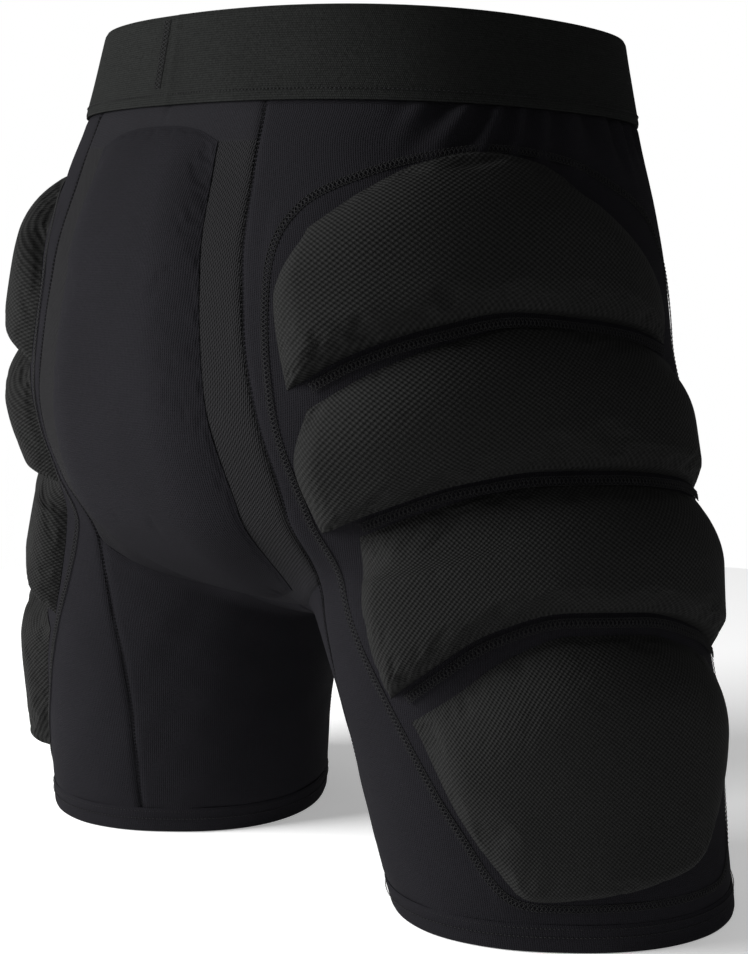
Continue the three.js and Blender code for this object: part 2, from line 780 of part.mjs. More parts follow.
function gussetAngle(x, ceiling, start, stop) {
  let low = start;
  let high = stop;
  for (let i = 0; i < 24; i += 1) {
    const middle = (low + high) / 2;
    if (throughCrotch(x, middle).z > ceiling) low = middle;
    else high = middle;
  }
  return high;
}
add(
  "crotch_gusset",
  sheet({
    us: evenly(4),
    ws: evenly(12),
    place: (u, w) => {
      const x = (2 * u - 1) * GUSSET_HALF_WIDTH;
      const back = gussetAngle(x, seatFoot(x) - GAP, 0, 90);
      const front = gussetAngle(x, POUCH_FOOT - GAP, 180, 90);
      return throughCrotch(x, mix(back, front, w));
    },
    inner: flat(-FABRIC),
    outer: flat(0),
  }),
  JERSEY,
);

// ---- hems and seam stitching --------------------------------------------------------

for (const [hand, side] of SIDES) {
  const ringAt = (low, high) => (u, w) => roundLeg(side, -90 + 360 * u, mix(low, high, w));
  add(
    hand + "_leg_hem",
    sheet({
      us: evenly(32),
      ws: evenly(1),
      place: ringAt(0, HEM_HEIGHT),
      inner: flat(-HEM_THICKNESS),
      outer: flat(0),
      ring: true,
      level: true,
    }),
    JERSEY,
  );
  add(
    hand + "_hem_stitch",
    sheet({
      us: evenly(32),
      ws: evenly(1),
      place: ringAt(HEM_STITCH.level, HEM_STITCH.level + HEM_STITCH.width),
      inner: flat(LAYER_GAP / 2),
      outer: flat(LAYER_GAP / 2 + STITCH),
      ring: true,
      level: true,
    }),
    THREAD,
  );
  const strip = (name, seam, pick, low, high) =>
    add(
      hand + name,
      sheet({
        us: evenly(1),
        ws: evenly(28),
        place: (u, w) => {
          const height = mix(low, high, w);
          return pick(side * (seam(height) + SEAM_STITCH_WIDTH * (u - 0.5)), height);
        },
        inner: flat(STITCH_SEAT),
        outer: flat(STITCH_SEAT + STITCH),
      }),
      THREAD,
    );
  strip("_back_seam_stitch", backSeam, fromBack, panelFoot + STITCH_END, panelHead - STITCH_END);
  strip("_pouch_seam_stitch", frontSeam, fromFront, LEG_ROOT.level, panelHead - STITCH_END);
  strip("_inner_seam_stitch", frontSeam, fromFront, panelFoot + STITCH_END, INNER_STITCH_HEAD);
  add(
    hand + "_side_seam_stitch",
    sheet({
      us: evenly(1),
      ws: evenly(28),
      place: (u, w) => {
        const height = mix(panelFoot + STITCH_END, panelHead - STITCH_END, w);
        const angle = SIDE_SEAM_ANGLE + SIDE_SEAM_CLEAR / 2 + SIDE_STITCH_TURN * (u - 0.5);
        return roundLeg(side, angle, height);
      },
      inner: flat(STITCH_SEAT),
      outer: flat(STITCH_SEAT + STITCH),
    }),
    THREAD,
  );
}

// ---- place the group with the middle of its box over the origin ---------------------

const box = new THREE.Box3().setFromObject(garment);
const middle = box.getCenter(new THREE.Vector3());
garment.position.set(-middle.x, -middle.y, -box.min.z);

export default shorts;
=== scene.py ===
"""Padded impact shorts: cloth panels, foam pads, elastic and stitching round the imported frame."""

import math

import bpy
import numpy as np
from mathutils import Matrix, Vector


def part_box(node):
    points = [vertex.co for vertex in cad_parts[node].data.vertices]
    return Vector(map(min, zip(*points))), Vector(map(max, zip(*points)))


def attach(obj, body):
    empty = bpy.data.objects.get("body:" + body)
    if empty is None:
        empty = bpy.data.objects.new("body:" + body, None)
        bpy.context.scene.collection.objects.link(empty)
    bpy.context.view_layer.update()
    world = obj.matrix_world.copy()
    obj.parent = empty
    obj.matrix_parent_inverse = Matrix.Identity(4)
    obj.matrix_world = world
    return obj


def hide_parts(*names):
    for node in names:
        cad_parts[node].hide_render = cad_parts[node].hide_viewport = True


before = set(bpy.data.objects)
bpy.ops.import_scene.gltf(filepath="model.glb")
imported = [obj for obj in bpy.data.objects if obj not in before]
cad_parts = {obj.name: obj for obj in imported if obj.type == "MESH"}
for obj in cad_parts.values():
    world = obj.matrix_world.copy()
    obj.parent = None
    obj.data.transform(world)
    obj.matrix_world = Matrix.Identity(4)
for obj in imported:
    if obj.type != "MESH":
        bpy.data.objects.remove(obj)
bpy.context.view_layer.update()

bl_info = {
    "name": "Padded impact shorts",
    "version": (1, 0, 0),
    "blender": (4, 5, 0),
    "location": "3D View > Sidebar > Shorts",
    "description": "Builds the cloth, pads and stitching of a pair of padded impact shorts",
    "category": "Add Mesh",
}

MM = 0.001
SIDES = (("left", 1), ("right", -1))

# ---- the body that fills the shorts, in millimetres ----

WAIST_TOP = 433
BAND_FOOT = 390
SLOPE_START = 230
WAIST_SLOPE = 0.064
CROTCH_FLOOR = 122
JOIN_RADIUS = 26
LEG_SQUARENESS = 2.3
LEVELS = (122, 140, 165, 205, 255, 315, 360, 390, 433)
HALF_WIDTH = (10, 70, 125, 172, 185, 180, 169, 158, 144)
BACK_DEPTH = (10, 57, 103, 142, 153, 147, 133, 122, 112)
FRONT_DEPTH = (10, 46, 80, 101, 111, 112, 113, 115, 118)
LEG_LEVELS = (0, 60, 100, 145, 195, 240, 280, 310)
LEG_SPREAD = (138, 133, 129, 120, 111, 102, 93, 85)
LEG_OUTER = (86.5, 90, 93, 96, 99, 93, 72, 10)
LEG_INNER = (80.5, 83, 86, 89, 90, 82, 60, 10)
SIDE_SEAM_ANGLE = 140
POUCH_FOOT = 150
POUCH_DEPTH = 9
GUSSET_HALF_WIDTH = 22
CROTCH_AXIS_Y, CROTCH_AXIS_LEVEL = 12, 185  # where the rays through the crotch start
LEG_REACH = 260  # how far the rays round a leg go
BODY_REACH = 200  # and those through the body
SEARCH_STEPS = 44
HALVINGS = 20
NORMAL_STEP = 0.5
SAMPLES_PER_CURVE = 1200


def curve(levels, values):
    """A smooth function through the values at their levels that never overshoots them."""
    x, y = np.array(levels, float), np.array(values, float)
    rise = np.diff(y) / np.diff(x)
    slope = np.concatenate([rise[:1], np.zeros(len(x) - 2), rise[-1:]])
    for i in range(1, len(x) - 1):
        if rise[i - 1] * rise[i] > 0:
            slope[i] = 2 * rise[i - 1] * rise[i] / (rise[i - 1] + rise[i])
    dense = np.linspace(x[0], x[-1], SAMPLES_PER_CURVE)
    i = np.clip(np.searchsorted(x, dense, "right") - 1, 0, len(x) - 2)
    span = x[i + 1] - x[i]
    t = (dense - x[i]) / span
    table = (2 * t**3 - 3 * t**2 + 1) * y[i] + (t**3 - 2 * t**2 + t) * span * slope[i]
    table += (3 * t**2 - 2 * t**3) * y[i + 1] + (t**3 - t**2) * span * slope[i + 1]
    return lambda at: np.interp(at, dense, table)


def along(values):
    return curve(np.linspace(0, 1, len(values)), values)


def mix(a, b, share):
    return a + (b - a) * share


def smooth(t):
    t = np.clip(t, 0, 1)
    return t * t * (3 - 2 * t)


body_width = curve(LEVELS, HALF_WIDTH)
body_back = curve(LEVELS, BACK_DEPTH)
body_front = curve(LEVELS, FRONT_DEPTH)
body_squareness = curve((122, 255, 390), (2.3, 2.55, 2.35))
leg_spread = curve(LEG_LEVELS, LEG_SPREAD)
leg_outer = curve(LEG_LEVELS, LEG_OUTER)
leg_inner = curve(LEG_LEVELS, LEG_INNER)
leg_stride = curve((0, 100, 195, 260), (17, 10.2, 2, 0))
leg_set = curve((0, 60, 145, 260), (0, 6, 9, 0))
axis_spread = curve((0, 100, 145, 195, 240, 340, 433), (138, 129, 112, 94, 76, 45, 35))
back_seam = curve((0, 80, 140, 190, 220, 290, 390), (87, 83, 87, 96, 99, 86, 70))
front_seam = curve((0, 60, 100, 135, 165, 250, 390), (86, 80, 70, 50, 34, 40, 46))


def leg_axis_y(height, side):
    return leg_set(height) + side * leg_stride(height)


def from_section(x, y, a, b, squareness):
    share = (np.abs(x / a) ** squareness + np.abs(y / b) ** squareness) ** (1 / squareness)
    return np.hypot(x, y) * (1 - 1 / np.maximum(share, 1e-6))


def field(p):
    """Negative inside the body, before the waist is sloped."""
    x, y, h = p[..., 0], p[..., 1], p[..., 2]
    depth = np.where(y > 0, body_back(h), body_front(h))
    value = from_section(x, y, body_width(h), depth, body_squareness(h))
    value = value + np.maximum(CROTCH_FLOOR - h, 0)
    for side in (-1, 1):
        dx = (x - side * leg_spread(h)) * side
        dy = y - leg_axis_y(h, side)
        outer, inner = (dx - dy) * math.sqrt(0.5), (dx + dy) * math.sqrt(0.5)
        leg = from_section(outer, inner, leg_outer(h), leg_inner(h), LEG_SQUARENESS)
        t = np.clip(0.5 + 0.5 * (leg - value) / JOIN_RADIUS, 0, 1)
        value = leg * (1 - t) + value * t - JOIN_RADIUS * t * (1 - t)
    return value


def closed_in(low, high, holds, rounds):
    """Halves the gap between low, where the test holds, and high, where it doesn't."""
    for _ in range(rounds):
        middle = (low + high) / 2
        held = holds(middle)
        low, high = np.where(held, middle, low), np.where(held, high, middle)
    return low, high


def crossing(start, direction, reach, starts_inside):
    """The first point where each ray passes through the body's surface."""

    def same_side(at):
        return (field(start + direction * at[..., None]) < 0) == starts_inside

    shape = np.broadcast(start[..., 0], direction[..., 0]).shape
    near, far = np.zeros(shape), np.full(shape, float(reach))
    found = np.zeros(shape, bool)
    for i in range(1, SEARCH_STEPS + 1):
        at = reach * i / SEARCH_STEPS
        crossed = ~same_side(np.full(shape, at)) & ~found
        far[crossed] = at
        found |= crossed
        near[~found] = at
        if found.all():
            break
    near, far = closed_in(near, far, same_side, HALVINGS)
    return start + direction * near[..., None]


def vectors(x, y, z):
    return np.stack(np.broadcast_arrays(x, y, z), axis=-1).astype(float)


def unit(v):
    """The vectors again, each with a length of one."""
    return v / np.maximum(np.linalg.norm(v, axis=-1, keepdims=True), 1e-12)


def round_leg(side, angle, height):
    """Points round a leg: 0 at the back, 90 at the outer side, 180 in front."""
    turn = np.radians(angle)
    start = vectors(side * axis_spread(height), leg_axis_y(height, side), height)
    return crossing(start, vectors(side * np.sin(turn), np.cos(turn), 0 * turn), LEG_REACH, True)


def from_back(x, height):
    return crossing(vectors(x, BODY_REACH, height), vectors(0 * x, -1, 0), BODY_REACH, False)


def from_front(x, height):
    return crossing(vectors(x, -BODY_REACH, height), vectors(0 * x, 1, 0), BODY_REACH, False)


def through_crotch(x, angle):
    turn = np.radians(angle)
    start = vectors(x, CROTCH_AXIS_Y, CROTCH_AXIS_LEVEL)
    return crossing(start, vectors(0 * x, np.cos(turn), -np.sin(turn)), BODY_REACH, True)


def angle_of(p, side):
    across = side * p[..., 0] - axis_spread(p[..., 2])
    return np.degrees(np.arctan2(across, p[..., 1] - leg_axis_y(p[..., 2], side)))


def normals_at(p, level=False):
    steps = np.eye(3) * NORMAL_STEP
    n = np.stack([field(p + s) - field(p - s) for s in steps], axis=-1)
    if level:
        n[..., 2] = 0
    return unit(n)


def lifted(p, offset, level=False):
    """Points at a height over the body, with the waist sloped, still in millimetres."""
    offset = np.broadcast_to(offset, p.shape[:-1])
    q = p + normals_at(p, level) * offset[..., None]
    share = smooth((p[..., 2] - SLOPE_START) / (WAIST_TOP - SLOPE_START))
    q[..., 2] += WAIST_SLOPE * p[..., 1] * share
    return q


def frame_shift():
    """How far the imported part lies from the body's own origin, read from the left hem."""
    angle = np.linspace(-90, 270, 33)
    ring = lifted(round_leg(1, angle, 0 * angle), 0, True)
    low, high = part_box("left_leg_hem")
    own = (ring.min(0) + ring.max(0)) / 2
    return np.array([0, (low.y + high.y) / 2 - own[1] * MM, low.z])


SHIFT = frame_shift()


def in_frame(p):
    return p * MM + SHIFT


WAVES = 5  # waves in different directions that make up the unevenness


def uneven(p, wave, seed):
    """Gentle unevenness from -1 to 1, the same each time."""
    total = 0
    for k in range(WAVES):
        a, b = seed * 1.7 + k * 2.3, seed * 0.9 + k * 1.1
        d = np.array([math.sin(a), math.cos(a) * math.sin(b), math.cos(b)])
        total = total + np.sin(p @ d * (2 * math.pi / wave) * (1 + 0.23 * k) + a * 3)
    return total / WAVES


# ---- sizes and colours ----


def length(name, text, millimetres):
    return bpy.props.FloatProperty(
        name=name, description=text, default=millimetres * MM, unit="LENGTH", precision=5
    )


def colour(name, text, value):
    return bpy.props.FloatVectorProperty(
        name=name, description=text, default=value, subtype="COLOR", size=3, min=0, max=1
    )


class ShortsSizes(bpy.types.PropertyGroup):
    fabric: length("Fabric", "Thickness of a jersey panel", 1.0)
    band: length("Band", "Thickness of the waistband elastic", 2.0)
    hem: length("Hem", "Thickness of the folded leg hem", 1.6)
    hip_foam: length("Hip foam", "Thickness of the hip and thigh foam", 12.5)
    seat_foam: length("Seat foam", "Thickness of the seat foam", 7.0)
    backing: length("Backing", "How far the cloth backing under the hip pads stands up", 0.5)
    knit: length("Knit", "Width of one column of the jersey knit", 1.1)
    honeycomb: length("Honeycomb", "Width of one cell of the seat panel's knit", 2.3)
    dimple: length("Dimple", "Width of one dimple in the cloth over the pads", 1.5)
    rib: length("Rib", "Width of one rib of the waistband", 1.1)
    stitch: length("Stitch", "Length of one stitch", 2.1)
    thread: length("Thread", "Thickness of the sewing thread", 0.46)
    gather: length("Gather", "Height of the gathers under the waistband", 4.8)
    pressure: bpy.props.FloatProperty(
        name="Pad pressure", description="How hard the foam pushes its cover out", default=4.0
    )


class ShortsColours(bpy.types.PropertyGroup):
    jersey: colour("Jersey", "Body panels", (0.0085, 0.0082, 0.0098))
    honeycomb: colour("Honeycomb", "Open knit beside the seat pad", (0.0112, 0.0110, 0.0118))
    pad_cloth: colour("Pad cloth", "Covers of the hip pads", (0.0115, 0.0116, 0.0114))
    band: colour("Band", "Waistband elastic", (0.0120, 0.0126, 0.0121))
    thread: colour("Thread", "Thread of the borders, channels and hems", (0.0130, 0.0130, 0.0134))
    # the seam thread is black and darker than the cloth: painted shade along the seam creases
    seam: colour("Seam thread", "Thread of the seams between panels", (0.0020, 0.0020, 0.0023))
    foam: colour("Foam", "Foam blocks inside the covers", (0.045, 0.045, 0.048))


def sizes():
    return bpy.context.scene.shorts_sizes


def colours():
    return bpy.context.scene.shorts_colours


# ---- materials ----


CLOUD_SCALE, CLOUD_SHADE, CLOUD_START, CLOUD_ROUGHNESS = 22.0, 0.35, 0.82, 0.12
FIBRE_SCALE, FIBRE_SHADE, FIBRE_DEPTH = 900.0, 0.5, 0.00015


class Nodes:
    """A small helper that adds shader nodes and joins them up."""

    def __init__(self, name):
        self.material = bpy.data.materials.new(name)
        self.material.use_nodes = True
        self.tree = self.material.node_tree
        self.shader = self.tree.nodes["Principled BSDF"]

    def add(self, kind, settings=(), inputs=()):
        node = self.tree.nodes.new(kind)
        for key, value in dict(settings).items():
            setattr(node, key, value)
        for key, value in dict(inputs).items():
            self.put(value, node.inputs[key])
        return node

    def put(self, value, socket):
        if isinstance(value, bpy.types.NodeSocket):
            self.tree.links.new(value, socket)
        else:
            socket.default_value = value

    def math(self, operation, a, b=0.0):
        return self.add("ShaderNodeMath", {"operation": operation}, {0: a, 1: b}).outputs[0]

    def times(self, a, b):
        return self.math("MULTIPLY", a, b)

    def plus(self, a, b):
        return self.math("ADD", a, b)

    def wave(self, at, width):
        """A sine along a coordinate, one period in each width."""
        return self.math("SINE", self.times(at, 2 * math.pi / width))

    def between(self, value, low, high):
        """0 at low and 1 at high, smooth between them."""
        settings = {"interpolation_type": "SMOOTHSTEP"}
        inputs = {"Value": value, "From Min": low, "From Max": high}
        return self.add("ShaderNodeMapRange", settings, inputs).outputs["Result"]

    def blend(self, share, a, b, kind="FLOAT"):
        node = self.add("ShaderNodeMix", {"data_type": kind}, {0: share})
        first = 2 if kind == "FLOAT" else 6
        self.put(a, node.inputs[first])
        self.put(b, node.inputs[first + 1])
        return node.outputs[0 if kind == "FLOAT" else 2]

    def noise(self, scale, detail=3.0):
        at = self.add("ShaderNodeTexCoord").outputs["Object"]
        settings = {"Vector": at, "Scale": scale, "Detail": detail}
        return self.add("ShaderNodeTexNoise", (), settings).outputs["Fac"]

    def cloth_axes(self):
        uv = self.add("ShaderNodeUVMap", {"uv_map": "cloth"}).outputs["UV"]
        split = self.add("ShaderNodeSeparateXYZ", (), {0: uv})
        return split.outputs["X"], split.outputs["Y"]

    def scaled(self, value, factor, start):
        inputs = {0: value, 1: factor, 2: start}
        return self.add("ShaderNodeMath", {"operation": "MULTIPLY_ADD"}, inputs).outputs[0]

    def finish(self, tone, height, depth, shade_depth, roughness, specular):
        """Colour, roughness and bump from a weave height between 0 and 1; the colour gets painted
        shade where the weave is low.
        """
        cloud = self.noise(CLOUD_SCALE)
        fibre = self.noise(FIBRE_SCALE, 2.0)
        # painted shade: the colour darkens in the low parts of the weave, its hollows
        shade = self.scaled(height, shade_depth, 1 - shade_depth * 0.6)
        patch = self.scaled(cloud, CLOUD_SHADE, CLOUD_START)
        lint = self.scaled(fibre, FIBRE_SHADE, 1 - FIBRE_SHADE / 2)
        gain = self.times(self.times(shade, patch), lint)
        toned = self.add("ShaderNodeVectorMath", {"operation": "SCALE"}, {0: tone, "Scale": gain})
        self.put(toned.outputs[0], self.shader.inputs["Base Color"])
        rough = self.scaled(cloud, CLOUD_ROUGHNESS, roughness - CLOUD_ROUGHNESS / 2)
        self.put(rough, self.shader.inputs["Roughness"])
        settings = {"Height": height, "Distance": depth, "Strength": 1.0}
        weave = self.add("ShaderNodeBump", (), settings)
        settings = {"Height": fibre, "Distance": FIBRE_DEPTH, "Normal": weave.outputs[0]}
        fuzz = self.add("ShaderNodeBump", (), settings)
        self.put(fuzz.outputs[0], self.shader.inputs["Normal"])
        self.shader.inputs["Specular IOR Level"].default_value = specular
        return self.material


def knit_height(n, u, v):
    """Upright columns of small slanting loops, as a height from 0 to 1."""
    width = sizes().knit
    column = n.math("ABSOLUTE", n.wave(u, width * 2))
    slant = n.plus(v, n.times(column, width * 0.4))
    loops = n.times(n.wave(slant, width), 0.2)
    return n.plus(n.plus(n.times(column, 0.6), loops), 0.2)


def jersey_material():
    """Fine knit with a slightly uneven tone."""
    n = Nodes("jersey_knit")
    height = knit_height(n, *n.cloth_axes())
    tone = (*colours().jersey,)
    # painted shade in the hollows of the knit
    return n.finish(tone, height, depth=0.00022, shade_depth=0.35, roughness=0.9, specular=0.03)


OPEN_KNIT = (0.150, 0.190, 0.3765, 0.3785)  # heights where the holes open and close again
ROW_SLANT = 0.577  # the tangent of 30 degrees, for the slanting rows of holes


def honeycomb_material():
    """Rows of small round holes, each set half a cell aside, closing to plain knit at the top."""
    n = Nodes("honeycomb_knit")
    u, v = n.cloth_axes()
    width = sizes().honeycomb
    a, b = n.scaled(v, ROW_SLANT, u), n.scaled(v, -ROW_SLANT, u)
    cells = n.scaled(n.times(n.wave(a, width), n.wave(b, width)), 0.5, 0.5)
    at = n.add("ShaderNodeTexCoord").outputs["Object"]
    level = n.add("ShaderNodeSeparateXYZ", (), {0: at}).outputs["Z"]
    opening = n.between(level, OPEN_KNIT[0], OPEN_KNIT[1])
    closing = n.between(level, OPEN_KNIT[3], OPEN_KNIT[2])
    openness = n.times(opening, closing)
    height = n.blend(openness, n.scaled(knit_height(n, u, v), 0.35, 0.35), cells)
    tone = n.blend(openness, (*colours().jersey, 1), (*colours().honeycomb, 1), "RGBA")
    # painted shade: the holes are darkened in colour, more strongly than any other cloth
    return n.finish(tone, height, depth=0.0006, shade_depth=0.9, roughness=0.85, specular=0.05)


def pad_cloth_material():
    """Tight cloth over the foam, with a small regular dimple."""
    n = Nodes("pad_cloth")
    u, v = n.cloth_axes()
    width = sizes().dimple
    pitch = width * math.sqrt(2)
    height = n.scaled(n.times(n.wave(u, pitch), n.wave(v, pitch)), 0.5, 0.5)
    tone = (*colours().pad_cloth,)
    # painted shade in the dimples
    return n.finish(tone, height, depth=0.0005, shade_depth=0.9, roughness=0.8, specular=0.05)


def band_material():
    """Woven elastic: narrow upright ribs crossed by fine rows, with a marled yarn."""
    n = Nodes("woven_elastic")
    u, v = n.cloth_axes()
    width = sizes().rib
    ribs = n.math("ABSOLUTE", n.wave(v, width * 2))
    rows = n.wave(n.plus(u, n.times(ribs, width * 0.5)), width * 0.8)
    height = n.plus(n.times(ribs, 0.35), n.times(rows, 0.22))
    marl = n.times(n.noise(750.0, 2.0), 0.9)
    height = n.math("SUBTRACT", n.plus(height, marl), 0.2)
    tone = (*colours().band,)
    # the colour follows the height: the marl is the yarn's own tone, and the hollows of the ribs
    # and rows get painted shade
    return n.finish(tone, height, depth=0.0003, shade_depth=1.0, roughness=0.9, specular=0.03)


def thread_material():
    """Twisted thread, slightly glossier than the cloth."""
    return twisted("sewing_thread", colours().thread)


def seam_shade_thread_material():
    """The same thread in black, sunk into the seams, and darker than the cloth as painted shade of
    the seam creases.
    """
    return twisted("seam_shade_thread", colours().seam)


def twisted(name, tone):
    n = Nodes(name)
    twist = n.noise(1500.0, 2.0)
    # painted shade where the twist's bump is low
    return n.finish((*tone,), twist, depth=0.0001, shade_depth=0.5, roughness=0.75, specular=0.06)


def foam_material():
    """Fine closed cells."""
    n = Nodes("pad_foam")
    cells = n.noise(1200.0, 4.0)
    tone = (*colours().foam,)
    # painted shade in the pits of the foam's cells
    return n.finish(tone, cells, depth=0.0002, shade_depth=0.6, roughness=0.9, specular=0.15)


MAKERS = {
    "jersey": jersey_material,
    "vent_knit": honeycomb_material,
    "pad_cloth": pad_cloth_material,
    "elastic": band_material,
    "thread": thread_material,
    "seam_shade_thread": seam_shade_thread_material,
    "foam": foam_material,
}
_made = {}


def material_for(key):
    if key not in _made:
        _made[key] = MAKERS[key]()
    return _made[key]


# ---- meshes ----

# the least angles that stay sharp when a piece is shaded smooth
CLOTH_EDGE = math.radians(50)
THREAD_EDGE = math.radians(60)


def grid(across, up):
    """Two arrays of shares from 0 to 1 with that many cells each way."""
    return np.meshgrid(np.linspace(0, 1, across + 1), np.linspace(0, 1, up + 1), indexing="ij")


def steps_along(points, axis):
    """The distance from each point of a grid to the next one."""
    return np.linalg.norm(np.diff(points, axis=axis), axis=-1)


def distances(points):
    """Distance along the cloth from its middle column, and up from its foot."""
    across = np.cumsum(np.pad(steps_along(points, 0), ((1, 0), (0, 0))), axis=0)
    up = np.cumsum(np.pad(steps_along(points, 1), ((0, 0), (1, 0))), axis=1)
    return np.stack([across - across[points.shape[0] // 2], up], axis=-1)


def new_object(name, data):
    made = bpy.data.objects.new(name, data)
    bpy.context.scene.collection.objects.link(made)
    return made


def mesh_object(name, vertices, faces, uv=None):
    mesh = bpy.data.meshes.new(name)
    mesh.from_pydata(vertices.tolist(), [], faces.tolist())
    if uv is not None:
        layer = mesh.uv_layers.new(name="cloth")
        layer.data.foreach_set("uv", uv.reshape(-1).astype(np.float32))
    mesh.validate()
    return new_object(name, mesh)


def only(piece):
    bpy.ops.object.select_all(action="DESELECT")
    piece.select_set(True)
    bpy.context.view_layer.objects.active = piece


def slab(name, outer, inner, ring=False, spread=None):
    """A closed piece of cloth between two grids of points, in metres."""
    columns, rows = outer.shape[:2]
    kept = columns - 1 if ring else columns
    vertices = np.concatenate([outer[:kept].reshape(-1, 3), inner[:kept].reshape(-1, 3)])
    i, j = np.meshgrid(np.arange(columns - 1), np.arange(rows - 1), indexing="ij")
    i, j = i.ravel(), j.ravel()
    top = [(i, j, 0), (i + 1, j, 0), (i + 1, j + 1, 0), (i, j + 1, 0)]
    quads = [top, [(a, b, 1) for a, b, _ in top[::-1]]]
    k = np.arange(columns - 1)
    foot, head = 0 * k, 0 * k + rows - 1
    quads.append([(k, foot, 0), (k, foot, 1), (k + 1, foot, 1), (k + 1, foot, 0)])
    quads.append([(k, head, 0), (k + 1, head, 0), (k + 1, head, 1), (k, head, 1)])
    if not ring:
        k = np.arange(rows - 1)
        first, last = 0 * k, 0 * k + columns - 1
        quads.append([(first, k, 0), (first, k + 1, 0), (first, k + 1, 1), (first, k, 1)])
        quads.append([(last, k, 0), (last, k, 1), (last, k + 1, 1), (last, k + 1, 0)])
    spread = distances(outer) if spread is None else spread
    faces, uv = [], []
    for quad in quads:
        faces.append(np.stack([(a % kept) * rows + b + c * kept * rows for a, b, c in quad], -1))
        uv.append(np.stack([spread[a, b] for a, b, _ in quad], -2))
    faces, uv = np.concatenate(faces), np.concatenate(uv)
    a, b, c, d = (vertices[faces[:, n]] for n in range(4))
    if (a * np.cross(b, c)).sum() + (a * np.cross(c, d)).sum() < 0:
        faces, uv = faces[:, ::-1], uv[:, ::-1]
    piece = mesh_object(name, vertices, faces, uv)
    only(piece)
    bpy.ops.object.shade_smooth_by_angle(angle=CLOTH_EDGE)
    return piece


def dress(piece, key, slot, *nodes):
    """Gives a finished piece its material, its body and the nodes that it stands for; its slot is
    not used.
    """
    piece.data.materials.append(material_for(key))
    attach(piece, "root")
    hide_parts(*nodes)
    return piece


def panel(name, place, offset, counts, key, node):
    """One cloth panel: place gives its points on the body and offset its height over it."""
    u, w = grid(*counts)
    base = place(u, w)
    height = offset(u, w, base)
    outer = in_frame(lifted(base, height))
    inner = in_frame(lifted(base, height - sizes().fabric / MM))
    piece = dress(slab(name, outer, inner), key, key, node)
    return piece


# ---- panels ----

PANEL_HEAD = 392.0  # panels run up under the band
PANEL_FOOT = 12.0  # and down under the hem
BAND_TUCK, HEM_TUCK = 0.9, 0.54  # how far they are pulled in there
BAND_TUCK_FOOT, HEM_TUCK_HEAD = 386, 17.5  # where that begins
SEAM_DIP, SEAM_WIDTH = 1.1, 1.5
# about how wide and how long the panels are, for how far a point is from their seams
SIDE_WIDTH, FRONT_WIDTH = 260, 110
INNER_LEG_WIDTH, INNER_LEG_LENGTH = 210, 120
POUCH_WIDTH, POUCH_LENGTH = 80, 240
GUSSET_WIDTH, GUSSET_LENGTH = 44, 100
CREASE_ASIDE, CREASE_FOOT = 3, 378  # the small crease above the seat pad
UNEVEN = 0.35  # how uneven a panel is


def tucked(base):
    """Cloth pulled in where it runs under the band and under the hem."""
    h = base[..., 2]
    under_band = BAND_TUCK * smooth((h - BAND_TUCK_FOOT) / 4)
    return -under_band - HEM_TUCK * smooth((HEM_TUCK_HEAD - h) / 3)


def dip(distance, depth=SEAM_DIP, width=SEAM_WIDTH):
    """How far cloth sinks beside a seam, a crease or its own edge."""
    return -depth * np.exp(-((distance / width) ** 2))


def to_edge(share, size):
    """Distance to the nearer of two opposite edges."""
    return np.minimum(share, 1 - share) * size


SEAT_FOOT, SEAT_RISE = 140, 34  # the seat panel's lowest point, and its rise 100 mm aside


def seat_foot(x):
    return SEAT_FOOT + SEAT_RISE * (x / 100) ** 2


def seat_edge(across):
    """The height of the seat panel's foot at a share of its half width."""
    height = np.full(np.shape(across), float(SEAT_FOOT))
    for _ in range(8):
        height = seat_foot(across * back_seam(height))
    return height


def make_seat_panel():
    def place(u, w):
        across = 2 * u - 1
        height = mix(seat_edge(across), PANEL_HEAD, w)
        return from_back(across * back_seam(height), height)

    def offset(u, w, base):
        edge = to_edge(u, 2 * back_seam(base[..., 2]))
        foot = w * (PANEL_HEAD - seat_edge(2 * u - 1))
        crease = dip(base[..., 0] + CREASE_ASIDE, 0.9, 2.2)
        crease *= smooth((base[..., 2] - CREASE_FOOT) / 12)
        return dip(edge) + dip(foot) + tucked(base) + 0.3 * uneven(base, 55, 1) + crease

    panel("seat_cloth", place, offset, (90, 110), "vent_knit", "seat_panel")


# the stitched border round the hip pads: its angles round the leg, and its head
PAD_BORDER_LEVELS = (20, 50, 77, 118, 155, 191, 228, 260, 340)
PAD_BORDER_BACK = curve(PAD_BORDER_LEVELS, (26, 19, 11, 3.5, 2.5, 6.5, 11, 13, 20))
PAD_BORDER_FRONT = curve((20, 70, 200, 270, 330), (116, 129, 131, 126, 114))
PAD_BORDER_HEAD = along((342, 356, 367, 372, 369, 357, 341))
PAD_BORDER_FOOT = 20
MM_PER_DEGREE = 1.8  # round the thigh


def border_distance(angle, height):
    """About how far inside the border of the pad group each point lies, in millimetres."""
    low, high = PAD_BORDER_BACK(height), PAD_BORDER_FRONT(height)
    share = (angle - low) / (high - low)
    sideways = np.minimum(angle - low, high - angle) * MM_PER_DEGREE
    upright = np.minimum(PAD_BORDER_HEAD(np.clip(share, 0, 1)) - height, height - PAD_BORDER_FOOT)
    return np.minimum(sideways, upright)


GATHERS_BACK, GATHERS_FRONT = 42, 132  # the angles round the hip that they lie between
GATHERS_SLANT = 98  # behind this angle they slant


